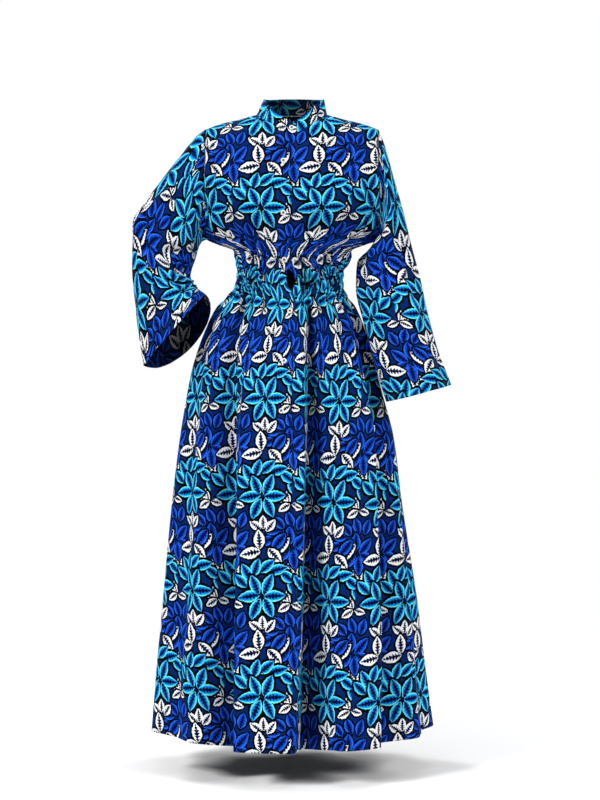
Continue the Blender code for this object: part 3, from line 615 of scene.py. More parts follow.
right_points, right_flat = front_panel(-1, RIGHT_CREASES)
left_points, left_flat = front_panel(1, LEFT_CREASES, LEFT_LEAN)
past_lap = left_points[..., 0] - lap_x(-left_points[..., 2], 1) - LAP - INSET_FROM
under = LAP_INSET * (1 - np.clip(past_lap / INSET_FADE, 0, 1))
left_points = left_points - outward_normals(left_points) * under[..., None]
back_points, back_flat = panel(seam_at(270), seam_at(90), BACK_GRID, 1, BACK_CREASES)
front_right = cloth("shell_front_right", right_points, right_flat)
front_left = cloth("shell_front_left", left_points, left_flat)
back = cloth("shell_back", back_points, back_flat)

# %% [markdown]
# A sleeve is a wide tube sewn to the straight armhole. Its table says where its outer and inner edges
# run, seen from the front, and how deep it is from front to back, so that each ring can be any ellipse in
# space. The right sleeve is bent at the elbow and its cuff opens downwards and inwards. The left one
# hangs. The cloth bunches in the crook of the bend and pulls straight over its outside.

# %% The sleeves
SLEEVE_ROUND, SLEEVE_RINGS = 112, 190
ARMHOLE_BLEND, ARMHOLE_REST = 0.6, 0.03
SLEEVE_COLUMNS = ("station", "out_x", "out_z", "in_x", "in_z", "mid_y", "depth", "back_x", "back_z")
SLEEVE_RIGHT = (
    SLEEVE_COLUMNS,
    (0, -202, -29, -202, -285, 0, 50, 0, 0),
    (1, -222, -44, -209, -289, 0, 54, 0, 0),
    (2, -262, -92, -217, -302, 2, 60, 0, 0),
    (3, -305, -146, -226, -332, 6, 66, 0, 0),
    (4, -345, -200, -234, -354, 8, 69, 0, 0),
    (5, -374, -250, -237, -370, 8, 70, 0, 0),
    (6, -372, -335, -230, -387, -4, 70, 4, -6),
    (7, -359, -460, -217, -401, -28, 67, 20, -20),
    (8, -342, -578, -200, -414, -52, 60, 42, -34),
)
SLEEVE_LEFT = (
    SLEEVE_COLUMNS,
    (0, 202, -29, 202, -285, 0, 50, 0, 0),
    (1, 214, -58, 208, -291, 0, 54, 0, 0),
    (2, 239, -145, 199, -303, 0, 60, 0, 0),
    (3, 258, -215, 172, -316, 0, 65, 0, 0),
    (4, 276, -293, 152, -342, -2, 68, 0, 0),
    (5, 298, -379, 149, -400, -14, 72, 0, 0),
    (6, 316, -461, 165, -476, -38, 74, 0, 0),
    (7, 339, -543, 189, -571, -64, 76, 0, 0),
    (8, 368, -622, 217, -662, -84, 78, 0, 0),
)
# across is 0 at the outer edge and positive to the front, and up is negative down the sleeve
RIGHT_SLEEVE_CREASES = (
    CREASE_COLUMNS,
    (150, -265, 82, 120, 9, -7.0, 14), (132, -292, 78, 110, 9, 5.0, 12), (168, -238, 86, 110, 9, 5.0, -12),
    (120, -322, 70, 90, 9, -4.5, 10), (150, -212, 88, 90, 9, -4.0, -10), (60, -120, 22, 110, 12, 3.4, 12),
    (170, -164, 46, 62, 12, -10.0, 6), (158, -138, 46, 66, 10, 5.0, 6), (212, -176, -42, 50, 9, -6.0, 5),
    (186, -196, 60, 44, 8, -5.0, 4), (30, -150, 16, 120, 12, -3.0, -10), (96, -90, 30, 90, 11, -3.2, 8),
    (130, -60, 36, 70, 10, 3.0, 6), (0, -330, 6, 110, 12, 2.8, 10), (40, -430, -6, 100, 12, -2.8, 8),
    (90, -440, -10, 100, 12, 3.0, -8), (-60, -140, -20, 110, 12, 3.2, 10),
    (-110, -110, -30, 90, 11, -3.2, 8),
    (-150, -270, 96, 100, 10, -5.0, 10), (-130, -300, 100, 90, 10, 4.0, 8), (-50, -430, 8, 110, 12, 2.8, 8),
    (-110, -450, 14, 90, 12, -2.8, 8),
)
LEFT_SLEEVE_CREASES = (
    CREASE_COLUMNS,
    (60, -170, 3, 190, 9, -4.5, 10), (80, -200, 5, 180, 9, 4.5, -10), (112, -150, 10, 120, 9, -4.0, 8),
    (20, -250, -3, 170, 13, 3.0, 12), (44, -420, -4, 120, 12, -3.2, -10), (100, -430, 4, 110, 12, 3.0, 8),
    (130, -320, 12, 120, 10, 3.4, 8), (0, -480, 2, 110, 12, -2.6, 8), (-50, -180, -6, 150, 12, 3.0, 10),
    (176, -215, 3, 120, 20, -11, 6), (-90, -300, 6, 150, 12, -3.2, -10), (-40, -430, -4, 120, 12, 3.0, 8),
    (-120, -200, -12, 110, 11, 3.2, 8), (-130, -440, 8, 100, 12, -3.0, 8), (160, -420, 2, 100, 12, -3.0, 6),
)


def sleeve_points(table, side):
    """Rings of a sleeve: the middle between its two edges, the half way out to the outer one times a
    cosine, and the depth times a sine. The first ring is the armhole's own ellipse, a seam away."""
    station = np.linspace(0, len(table) - 2, SLEEVE_RINGS)[:, None]
    turn = np.linspace(-math.pi, math.pi, SLEEVE_ROUND, endpoint=False)[None, :]
    out_x, out_z, in_x, in_z, mid_y, depth, back_x, back_z = (
        MM * smooth(station, column(table, "station"), column(table, name)) for name in SLEEVE_COLUMNS[1:])
    out, ahead = np.cos(turn), np.sin(turn)
    behind = np.maximum(-ahead, 0)
    x = (out_x + in_x) / 2 + out * (out_x - in_x) / 2 + behind * back_x
    z = (out_z + in_z) / 2 + out * (out_z - in_z) / 2 + behind * back_z
    edge = half_width(np.clip(-z[:1], ARM_CENTRE, ARM_BOTTOM), side < 0)
    lip = np.where(-z[:1] > ARM_CENTRE, edge, SHOULDER_OUT) - SHOULDER_OUT + SEAM
    return np.stack([x + side * lip * bump(station, ARMHOLE_BLEND), mid_y - ahead * depth, z], axis=-1)


def sleeve_flat(points):
    """The flat pattern of a tube that starts at its inner side: round it, 0 at the outer edge and positive
    to the front, and down it along its middle. The extra last column closes the tube."""
    around = running_length(np.concatenate([points, points[:, :1]], axis=1), 1)
    around = around - around[:, SLEEVE_ROUND // 2][:, None]
    down = running_length(points.mean(axis=1))
    return np.stack([around, np.broadcast_to(-down[:, None], around.shape)], axis=-1)


def sleeve(name, table, side, creases, start):
    """One sleeve with its creases. start moves the flat pattern on the print."""
    points = sleeve_points(table, side)
    flat = sleeve_flat(points)
    ring = np.linspace(0, 1, SLEEVE_RINGS)[:, None]
    keep = (1 - bump(ring, ARMHOLE_REST)) * np.ones(points.shape[:2])
    points = press(points, outward_normals(points, True), flat[:, :-1], creases, keep)
    return cloth(name, points, flat + np.array(start), closed=True), points, flat


sleeve_right, sleeve_right_points, sleeve_right_flat = sleeve(
    "shell_sleeve_right", SLEEVE_RIGHT, -1, RIGHT_SLEEVE_CREASES, (0.05, 0.02))
sleeve_left, sleeve_left_points, sleeve_left_flat = sleeve(
    "shell_sleeve_left", SLEEVE_LEFT, 1, LEFT_SLEEVE_CREASES, (0.02, 0.03))

# %% [markdown]
# The stand collar is a stiffened band on the neckline. It leans in a little, is lower in front than at
# the sides, and its upper end laps over the under one and is cut round. A band bent along a path is the
# plain way to make it: one direction runs round the neck, the other up the band.

# %% The collar
COLLAR_THICK, COLLAR_ROUND, COLLAR_UP = 0.0020, 300, 18
COLLAR_TOP_HALF, COLLAR_TOP_FRONT, COLLAR_TOP_BACK, COLLAR_SHIFT = 0.070, 0.066, 0.056, 0.005
COLLAR_HEIGHT_FRONT, COLLAR_HEIGHT_SIDE = 0.030, 0.039
COLLAR_OVER, COLLAR_END = 0.011, -0.035
COLLAR_CUT_OVER, COLLAR_CUT_UNDER, COLLAR_CUT_WIDE = 0.30, 0.15, 0.006
COLLAR_INSET, COLLAR_INSET_FROM, COLLAR_INSET_FADE = 0.0028, 0.064, 0.014
COLLAR_START = (0.16, 0.13)


def collar_points():
    """Points of the band: the neckline ellipse below, a smaller and shifted one above, and heights between
    the front's and the side's. Both ends are cut down over a short way, and the under one is set in."""
    start = math.degrees(math.asin(COLLAR_OVER / NECK_HALF))
    end = -360 + math.degrees(math.asin(COLLAR_END / NECK_HALF))
    turn = np.radians(np.linspace(start, end, COLLAR_ROUND))
    x = NECK_HALF * np.sin(turn)
    ahead = np.cos(turn) > 0
    y, z = (np.where(ahead, front, behind) for front, behind in zip(top_edge(x, -1), top_edge(x, 1)))
    line = np.stack([x, y, z + SEAM], axis=-1)
    forward = np.clip(-y / NECK_FRONT, 0, 1)
    height = COLLAR_HEIGHT_SIDE + (COLLAR_HEIGHT_FRONT - COLLAR_HEIGHT_SIDE) * forward
    reach = np.where(ahead, COLLAR_TOP_FRONT / NECK_FRONT, COLLAR_TOP_BACK / NECK_BACK)
    top = np.stack([x * COLLAR_TOP_HALF / NECK_HALF + COLLAR_SHIFT * (1 - forward), y * reach,
                    line[:, 2] + height], axis=-1)
    run = running_length(line)
    cut = (1 - COLLAR_CUT_OVER * bump(run, COLLAR_CUT_WIDE)
           - COLLAR_CUT_UNDER * bump(run[-1] - run, COLLAR_CUT_WIDE))
    share = np.linspace(0, 1, COLLAR_UP)[:, None, None] * cut[None, :, None]
    points = line * (1 - share) + top * share
    normals = outward_normals(points)
    normals[0, :, 2] = 0
    under = np.clip((run - (run[-1] - COLLAR_INSET_FROM)) / COLLAR_INSET_FADE, 0, 1)
    points = points - unit(normals) * (COLLAR_INSET * under)[None, :, None]
    up = np.broadcast_to(share[..., 0] * height[None, :], points.shape[:2])
    return points, np.stack([np.broadcast_to(-run, points.shape[:2]), up], axis=-1)


collar_grid, collar_flat = collar_points()
collar = cloth("shell_collar", collar_grid, collar_flat + np.array(COLLAR_START), thick=COLLAR_THICK)

# %% [markdown]
# The print is a wax print: turquoise flowers under a garland of leaves, royal blue ones between them,
# and white sprigs, all with black outlines on navy. Every one of these is the same leaf, set round a
# middle. So the whole print is one node group, a ring of leaves, used again and again on the flat pattern
# in real metres. An image would be quicker to make, but it has a fixed sharpness and has to come from
# somewhere. This one stays crisp however close the camera comes.
#
# Long formulas are hard to read as nodes. So a node's output is wrapped in a small class first, which
# adds a Math node for each sign of arithmetic, and the formulas below look like formulas.

# %% Arithmetic with shader nodes
class Field:
    """A number, place or colour that varies over a surface: an output of a node in a tree."""

    def __init__(self, tree, socket):
        self.tree, self.socket = tree, socket

    def __add__(self, other):
        return maths("ADD", self, other)

    def __sub__(self, other):
        return maths("SUBTRACT", self, other)

    def __rsub__(self, other):
        return maths("SUBTRACT", other, self)

    def __mul__(self, other):
        return maths("MULTIPLY", self, other)

    def __truediv__(self, other):
        return maths("DIVIDE", self, other)

    def __lt__(self, other):
        return maths("LESS_THAN", self, other)


def feed(socket, value):
    """Links a field to a socket, or sets the socket to a number, a place or a colour."""
    if isinstance(value, Field):
        value.tree.links.new(value.socket, socket)
    elif isinstance(value, tuple):
        socket.default_value = (*value, 1)[:len(socket.default_value)]
    else:
        socket.default_value = value


def added(tree, kind, inputs, output=0, **settings):
    """A new node with its settings and its inputs, and one of its outputs as a field."""
    node = tree.nodes.new("ShaderNode" + kind)
    for name, value in settings.items():
        setattr(node, name, value)
    for key, value in inputs.items():
        feed(node.inputs[key], value)
    return Field(tree, node.outputs[output])


def maths(operation, *values):
    """One Math node, in the tree of whichever value is a field."""
    tree = next(value.tree for value in values if isinstance(value, Field))
    return added(tree, "Math", dict(enumerate(values)), operation=operation)


def mixed(factor, first, second):
    """One Mix node for colours: first at factor 0, second at factor 1."""
    tree = next(value.tree for value in (factor, first, second) if isinstance(value, Field))
    return added(tree, "Mix", {0: factor, 6: first, 7: second}, 2, data_type="RGBA")


def clamped(value, low, high):
    """A value kept between two others."""
    return maths("MAXIMUM", maths("MINIMUM", value, high), low)


def split(place):
    """The first two coordinates of a place."""
    return [added(place.tree, "SeparateXYZ", {0: place}, axis) for axis in (0, 1)]


def ramp(factor, stops):
    """A colour ramp through the given stops."""
    node = factor.tree.nodes.new("ShaderNodeValToRGB")
    points = node.color_ramp.elements
    while len(points) < len(stops):
        points.new(0.5)
    for point, (place, colour) in zip(points, stops):
        point.position, point.color = place, (*colour, 1)
    feed(node.inputs[0], factor)
    return Field(factor.tree, node.outputs[0])


def noise(place, scale, detail=2.0):
    """A noise texture's value on the given coordinates."""
    return added(place.tree, "TexNoise", {"Scale": scale, "Detail": detail, "Vector": place})


def flat_place(tree, across=1.0, up=1.0):
    """The cloth's own coordinates in metres, stretched if asked."""
    flat = added(tree, "UVMap", {}, uv_map="Flat")
    return added(tree, "VectorMath", {0: flat, 1: (across, up, 1)}, operation="MULTIPLY")


# %% The ring of leaves as a node group
RING_INPUTS = ("U", "V", "Middle U", "Middle V", "First", "Step", "Lowest", "Highest", "Radius", "Spiral",
               "Tilt", "Turn", "Length", "Half Width", "Outline", "Rib Reach")
RING_OUTPUTS = ("Leaf", "Halo", "Rim", "Rib")
TILE_WIDE, TILE_HIGH, TILE_MIDDLE = 0.138, 0.2235, (69, -64)
LEAF_POINTED, LEAF_FULL, LEAF_LEAST = 0.92, 0.86, 0.00001
UNEVEN_TURN, UNEVEN_TILT, UNEVEN_LENGTH = 2.4, 0.16, 0.08
RIB_TEETH, RIB_SLANT, RIB_FADE, RIB_SPINE, RIB_END = 6.5, 0.75, 1.25, 0.14, 0.90


def leaf_profile(t):
    """Half width of a leaf at t from base to tip: the sine of half a turn to a power below 1, which makes
    it full, with t bent towards the base."""
    sine = maths("SINE", maths("POWER", t, LEAF_POINTED) * math.pi)
    return maths("POWER", maths("MAXIMUM", sine, 0.0), LEAF_FULL)


def ring_of_leaves():
    """Node group: leaves at even angles round the nearest repeat of a middle. The angle is folded to one
    leaf's own, and that leaf is moved out, tilted about its centre and tested against its profile. The
    radius and tilt may grow from leaf to leaf, and a sine of the leaf's number keeps them uneven. The rib
    is a row of slanted triangles on the midline."""
    tree = bpy.data.node_groups.new("Ring of leaves", "ShaderNodeTree")
    for way, names in (("INPUT", RING_INPUTS), ("OUTPUT", RING_OUTPUTS)):
        for name in names:
            tree.interface.new_socket(name=name, in_out=way, socket_type="NodeSocketFloat")
    given = tree.nodes.new("NodeGroupInput").outputs
    u, v, middle_u, middle_v, first, step, lowest, highest, radius, spiral, tilt, turn, length, half, \
        outline, rib_reach = (Field(tree, given[name]) for name in RING_INPUTS)

    x = maths("WRAP", u - middle_u, TILE_WIDE / 2, -TILE_WIDE / 2)
    y = maths("WRAP", v - middle_v, TILE_HIGH / 2, -TILE_HIGH / 2)
    angle = maths("WRAP", maths("ARCTAN2", y, x) - first, math.pi, -math.pi)
    number = clamped(maths("ROUND", angle / step), lowest, highest)
    uneven = maths("SINE", (number + first) * UNEVEN_TURN)
    folded = angle - number * step
    away = maths("SQRT", x * x + y * y)
    out = away * maths("COSINE", folded) - (radius + number * spiral)
    aside = away * maths("SINE", folded)
    lean = tilt + number * turn + uneven * UNEVEN_TILT
    cosine, sine = maths("COSINE", lean), maths("SINE", lean)
    length = length * (uneven * UNEVEN_LENGTH + 1.0)
    along = out * cosine + aside * sine + length * 0.5
    across = maths("ABSOLUTE", aside * cosine - out * sine)

    t = clamped(along / length, 0.0, 1.0)
    width = leaf_profile(t) * half
    leaf, share = across < width, across / maths("MAXIMUM", width, LEAF_LEAST)
    t_halo = clamped((along + outline) / (length + outline * 2.0), 0.0, 1.0)
    halo = across < leaf_profile(t_halo) * (half + outline)
    tooth = maths("ABSOLUTE", maths("FRACT", t * RIB_TEETH - share * RIB_SLANT) * 2.0 - 1.0)
    reach = rib_reach * ((1.0 - tooth) * (RIB_FADE - t))
    rib = leaf * (share < (t < RIB_END) * (reach + RIB_SPINE))
    result = tree.nodes.new("NodeGroupOutput").inputs
    for name, value in zip(RING_OUTPUTS, (leaf, halo, share, rib)):
        feed(result[name], value)
    return tree


leaf_ring = ring_of_leaves()
print("nodes in the group:", len(leaf_ring.nodes))

# %% [markdown]
# The chart of the print is a short list, lowest layer first: which ink, where the ring's middle is in the
# repeat, and how its leaves stand. The inks go from the rib to the rim of a leaf, as the dye does. The
# place wavers a little before it is looked up, because a printed edge is never quite true.

# %% The chart of the print
BLACK, NAVY, VEIN = (0.0004, 0.0010, 0.0034), (0.0012, 0.0140, 0.0900), (0.0006, 0.0034, 0.0280)
NAVY_LIGHT = tuple(1.3 * part for part in NAVY)
INKS = {
    "white": ((0.0, (0.66, 0.69, 0.73)), (0.4, (0.76, 0.77, 0.79)), (1.0, (0.80, 0.81, 0.82))),
    "royal": ((0.0, (0.002, 0.020, 0.20)), (0.45, (0.003, 0.040, 0.40)), (0.72, (0.005, 0.058, 0.50)),
              (0.84, (0.014, 0.130, 0.76)), (1.0, (0.022, 0.160, 0.80))),
    "turquoise": ((0.0, (0.001, 0.050, 0.34)), (0.35, (0.002, 0.130, 0.55)), (0.60, (0.004, 0.270, 0.70)),
                  (0.76, (0.018, 0.460, 0.74)), (0.86, (0.100, 0.70, 0.78)), (1.0, (0.24, 0.82, 0.82))),
}
OUTLINES = {"white": 4.8, "royal": 4.4, "turquoise": 6.4}
RIBS = {"white": 0.60, "royal": 0.52, "turquoise": 0.62}
CHART = (
    ("ink", "u", "v", "first", "step", "lowest", "highest", "radius", "spiral", "tilt", "turn", "length",
     "half"),
    ("royal", 69, -114, 118, 24, -2, 2, 62, -1.5, 22, 10, 37, 10.4),
    ("white", 76, 42, 82, 36, 0, 1, 18, 0, 0, 0, 35, 8.4),
    ("white", 68, -18, 112, 47, 0, 1, 19, 0, 0, 0, 37, 5.0),
    ("white", 66, -18, 205, 150, 0, 1, 16, 0, 0, 0, 30, 8.6),
    ("white", 2, -84, 90, 44, -1, 1, 26, 0, 6, 8, 32, 9.4),
    ("royal", 69, -114, 100, 60, -3, 3, 27, 0, 0, 0, 45, 11.4),
    ("white", 69, -114, 172, 90, 0, 0, 20, 0, 55, 0, 46, 8.5),
    ("royal", 69, -114, 160, 90, 0, 0, 33, 0, 66, 0, 50, 11.5),
    ("white", 0, -124, -16, 90, 0, 0, 31, 0, -22, 0, 46, 12.2),
    ("white", 0, -124, 104, 84, 0, 1, 28, 0, 0, 0, 48, 12.8),
    ("turquoise", 0, 0, 80, 22, -3, 3, 68, -2.8, -38, 13, 44, 11.8),
    ("turquoise", 0, 0, 62, 60, -3, 3, 30, 0, 0, 0, 50, 12.6),
)
WAVER, WAVER_SCALES, GROUND_SCALE = 0.0046, (170.0, 230.0), 60.0


def socket_values(row):
    """A row of the chart as the group's inputs, in metres and radians."""
    ink, u, v, first, step, lowest, highest, radius, spiral, tilt, turn, length, half = row
    return {"Middle U": (u + TILE_MIDDLE[0]) * MM, "Middle V": (v + TILE_MIDDLE[1]) * MM,
            "First": math.radians(first), "Step": math.radians(step), "Lowest": lowest, "Highest": highest,
            "Radius": radius * MM, "Spiral": spiral * MM, "Tilt": math.radians(tilt),
            "Turn": math.radians(turn), "Length": length * MM, "Half Width": half * MM,
            "Outline": OUTLINES[ink] * MM, "Rib Reach": RIBS[ink]}


def printed(tree):
    """The print's colour at a point of the flat pattern: ground, then each ring's outline and leaves."""
    place = flat_place(tree)
    u, v = (side + (noise(place, scale) - 0.5) * WAVER for side, scale in zip(split(place), WAVER_SCALES))
    colour = mixed(noise(place, GROUND_SCALE), NAVY, NAVY_LIGHT)
    for row in CHART[1:]:
        ring = tree.nodes.new("ShaderNodeGroup")
        ring.node_tree = leaf_ring
        for name, value in {"U": u, "V": v, **socket_values(row)}.items():
            feed(ring.inputs[name], value)
        leaf, halo, rim, rib = (Field(tree, ring.outputs[name]) for name in RING_OUTPUTS)
        ink = mixed(rib, ramp(rim, INKS[row[0]]), VEIN)
        colour = mixed(leaf, mixed(halo, colour, BLACK), ink)
    return colour


print("rings in the chart:", len(CHART) - 1)

# %% [markdown]
# Cotton is matt, with a faint sheen from its fibres. The weave is finer than the camera can see, but it
# breaks up the light, so it is in the bump, and so are the slack little wrinkles too small to model. The
# inner side of each sheet gets the print darkened towards black as its second material, as painted shade.

# %% Materials
YARN_TURNS = 9000.0
# Share of the print's brightness left on the inner side of the cloth: the rest is painted shade, darkening
# it towards black
REVERSE_LIT_SHARE = 0.18


def material(name, settings):
    """A new material with some settings of its shader, the shader, and its node tree."""
    made = bpy.data.materials.new(name)
    made.use_nodes = True
    shader = made.node_tree.nodes["Principled BSDF"]
    for setting, value in settings.items():
        shader.inputs[setting].default_value = value
    return made, shader, made.node_tree


def raise_surface(shader, height, strength, distance):
    """Connects a height to a Bump node on the shader."""
    bumped = added(height.tree, "Bump", {"Strength": strength, "Distance": distance, "Height": height})
    feed(shader.inputs["Normal"], bumped)


def printed_cotton(name, lit_share):
    """The dress cloth: the print, a plain weave of crossed sines, and slack wrinkles longer than wide. The
    second argument is how much of the print's brightness shows: 1 on the right side, and less on the
    reverse, which is painted shade."""
    made, shader, tree = material(name, {"Roughness": 0.74, "Specular IOR Level": 0.025,
                                         "Sheen Weight": 0.003, "Sheen Roughness": 0.4})
    feed(shader.inputs["Base Color"], mixed(lit_share, BLACK, printed(tree)))
    warp, weft = (maths("SINE", yarn) for yarn in split(flat_place(tree, YARN_TURNS, YARN_TURNS)))
    wrinkles = noise(flat_place(tree, 1.0, 0.36), 46.0, 3.0)
    fine = noise(flat_place(tree, 1.0, 0.7), 150.0)
    raise_surface(shader, wrinkles + fine * 0.16 + warp * weft * 0.012, 0.55, 0.006)
    return made


def navy_thread():
    """Sewing thread, unevenly dyed and a little rough, on the object's own coordinates."""
    made, shader, tree = material("navy thread", {"Roughness": 0.55})
    tone = noise(added(tree, "TexCoord", {}, "Object"), 900.0, 1.0)
    feed(shader.inputs["Base Color"], mixed(tone, (0.004, 0.010, 0.045), (0.010, 0.022, 0.090)))
    raise_surface(shader, tone, 0.4, 0.0002)
    return made


def button_shell():
    """A two-tone shirt button: a white ring round a smoky middle, by the radius kept in its UV map."""
    made, shader, tree = material("button shell", {"Roughness": 0.26, "Coat Weight": 0.35,
                                                   "Coat Roughness": 0.12})
    rings = ramp(split(flat_place(tree))[0], ((0.0, (0.05, 0.045, 0.04)), (0.46, (0.10, 0.09, 0.08)),
                                              (0.58, (0.78, 0.77, 0.74)), (1.0, (0.86, 0.85, 0.82))))
    cloudy = noise(flat_place(tree, 3.0, 1.0), 3.0, 3.0)
    feed(shader.inputs["Base Color"], mixed(cloudy * 0.25, rings, (0.55, 0.54, 0.52)))
    raise_surface(shader, cloudy, 0.05, 0.0003)
    return made


cotton = printed_cotton("printed cotton", 1.0)
# The inner sides get the print darkened towards black, as painted shade
reverse = printed_cotton("printed cotton reverse in painted shade", REVERSE_LIT_SHARE)
thread, shell = navy_thread(), button_shell()
for piece in (front_right, front_left, back, sleeve_right, sleeve_left, collar):
    piece.data.materials.append(cotton)
    piece.data.materials.append(reverse)
print("materials:", cotton.name, reverse.name, thread.name, shell.name)

# %% [markdown]
# Sewing is hundreds of small stitches, each a short thread lying on the cloth and dipping in at its ends.
# A stitch is a few rings along its way, and all the stitches of a row are worked out at once. A texture
# of dashes would do from across a room, but it would not catch the light.

# %% Sewing
STITCH, STITCH_GAP, THREAD_RADIUS, THREAD_SIDES = 0.0027, 0.0009, 0.00026, 4
# Where each ring of a stitch is along it, how high it lies and how wide it is, in radii of the thread
STITCH_RINGS = np.array(((0.0, -0.6, 0.5), (0.25, 0.7, 1.0), (0.75, 0.7, 1.0), (1.0, -0.6, 0.5)))


def at_lengths(lengths, run, values):
    """Values of a line, three numbers to a point, at lengths along it."""
    return np.stack([np.interp(lengths, run, values[:, axis]) for axis in range(3)], axis=-1)


def stitches(points, normals):
    """Stitches in even steps along a line: an array of stitch by ring by side by 3."""
    run = running_length(points)
    starts = np.arange(0, run[-1] - STITCH, STITCH + STITCH_GAP)
    begin, end = (at_lengths(starts + far, run, points) for far in (0, STITCH))
    up = unit(at_lengths(starts, run, normals))
    aside = unit(np.cross(end - begin, up))
    place, lift, size = STITCH_RINGS.T
    middle = begin[:, None] + (end - begin)[:, None] * place[:, None]
    middle = middle + up[:, None] * (lift[:, None] * THREAD_RADIUS)
    turn = np.linspace(0, 2 * math.pi, THREAD_SIDES, endpoint=False)[:, None]
    spoke = np.cos(turn) * aside[:, None, None] + np.sin(turn) * up[:, None, None]
    return middle[:, :, None] + spoke * (size[:, None, None] * THREAD_RADIUS)


def sewn(name, lines):
    """One mesh of the stitches along lines of (points, normals), each stitch closed at its ends."""
    loops = np.concatenate([stitches(points, normals) for points, normals in lines])
    index = numbered(loops.shape[:3])
    faces = np.concatenate([quads(index, around=True), index[:, 0, ::-1], index[:, -1]])[:, ::-1]
    piece = new_piece(name, loops, faces.tolist(), thread)
    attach(piece, "root")
    print(name, len(faces) * 2, "triangles")


def at_distance(points, normals, distance):
    """On each row of a sheet, the point at a distance along it from its first column."""
    run = running_length(points, 1)
    after = np.clip((run < distance).sum(axis=1), 1, points.shape[1] - 1)[:, None]
    before = np.take_along_axis(run, after - 1, 1)
    share = ((distance - before) / (np.take_along_axis(run, after, 1) - before))[..., None]
    picked = [np.take_along_axis(grid, after[..., None] - 1, 1) * (1 - share)
              + np.take_along_axis(grid, after[..., None], 1) * share for grid in (points, normals)]
    return picked[0][:, 0], unit(picked[1][:, 0])


def nearest_row(points, drop):
    """The row of a body piece below the yoke that lies nearest a drop."""
    return YOKE_ROWS + int(np.abs(-points[YOKE_ROWS:, 0, 2] - drop).argmin())


# %% The lines of sewing
HEM_TURNING, CUFF_TURNING, COLLAR_STITCH_ROWS = 0.020, 0.022, (2, COLLAR_UP - 3)
ARMHOLE_STITCH, ARMHOLE_SKIPPED, PLACKET_STITCHES = 0.006, 3, (0.003, 0.029)
right_normals, left_normals, back_normals = map(outward_normals, (right_points, left_points, back_points))
collar_normals = outward_normals(collar_grid)
body_grids = ((right_points, right_normals), (left_points, left_normals), (back_points, back_normals))
elastic_drops = [SHIR_TOP + SHIR_STEP * step for step in range(SHIR_ROWS)]


def lines_at(drops):
    """The lines of all three body pieces at some drops."""
    return [(points[row], normals[row]) for points, normals in body_grids
            for row in (nearest_row(points, drop) for drop in drops)]


# Each armhole edge is the last column of a front, or the first or last one of the back
backwards = [(points[:, ::-1], normals[:, ::-1]) for points, normals in body_grids]
armhole_rows = nearest_row(right_points, ARM_BOTTOM)
armhole_lines = []
for points, normals in (backwards[0], backwards[1], body_grids[2], backwards[2]):
    line, up = at_distance(points[:armhole_rows], normals[:armhole_rows], ARMHOLE_STITCH)
    armhole_lines.append((line[ARMHOLE_SKIPPED:], up[ARMHOLE_SKIPPED:]))
cuff_lines = []
for points in (sleeve_right_points, sleeve_left_points):
    from_cuff = running_length(points.mean(axis=1)[::-1])
    row = -1 - int(np.abs(from_cuff - CUFF_TURNING).argmin())
    grids = (points, outward_normals(points, True))
    cuff_lines.append([np.vstack([grid[row], grid[row, :1]]) for grid in grids])
sewn("stitches_hem", lines_at([HEM - HEM_TURNING]))
sewn("stitches_elastic", lines_at(elastic_drops))
sewn("stitches_armholes", armhole_lines)
sewn("stitches_placket", [at_distance(right_points[1:], right_normals[1:], far) for far in PLACKET_STITCHES])
sewn("stitches_cuffs", cuff_lines)
sewn("stitches_collar", [(collar_grid[row], collar_normals[row]) for row in COLLAR_STITCH_ROWS])

# %% [markdown]
# The buttons are small and there are only seven, but they are the one hard thing on the dress, and they
# catch the eye. Each is a disc whose height is a function of its radius, with four holes sunk into it,
# sewn on with a crossed thread, and behind it shows the end of its buttonhole.

# %% The forms of a button, its thread and its buttonhole
BUTTON_RADIUS, BUTTON_ROUND, BUTTON_RINGS = 0.0060, 48, 26
DISH, RIM, RIM_RADIUS, RIM_WIDE = 0.0016, 0.0008, 0.0047, 0.0011
HOLE_OUT, HOLE_RADIUS, HOLE_DEPTH = 0.00125, 0.00048, 0.0014
CROSS_RADIUS, CROSS_RINGS, CROSS_SIDES = 0.00028, 9, 6
CROSS_LIFT, CROSS_BOW, CROSS_DIP = 0.0017, 0.0004, 0.0012
BUTTONHOLE_HALF, BUTTONHOLE_WIDE, SATIN_THICK, SATIN_RINGS, SATIN_SIDES = 0.0075, 0.0009, 0.0005, 120, 8
SATIN_RIDGES, SATIN_RIDGE, SATIN_FLAT = 30, 0.18, 0.7


def button_height(across, up):
    """Height of the face: a raised rim round a shallow dish, sunk by a steep bell at each hole, and
    rounded off to the back at its edge."""
    radius = np.hypot(across, up)
    dish = DISH + RIM * bump(radius - RIM_RADIUS, RIM_WIDE)
    for x, y in ((1, 1), (1, -1), (-1, 1), (-1, -1)):
        apart = np.hypot(across - x * HOLE_OUT, up - y * HOLE_OUT)
        dish = dish - HOLE_DEPTH * np.exp(-(apart / HOLE_RADIUS) ** 4)
    return dish * np.sqrt(np.clip(1 - (radius / BUTTON_RADIUS) ** 8, 0, 1))


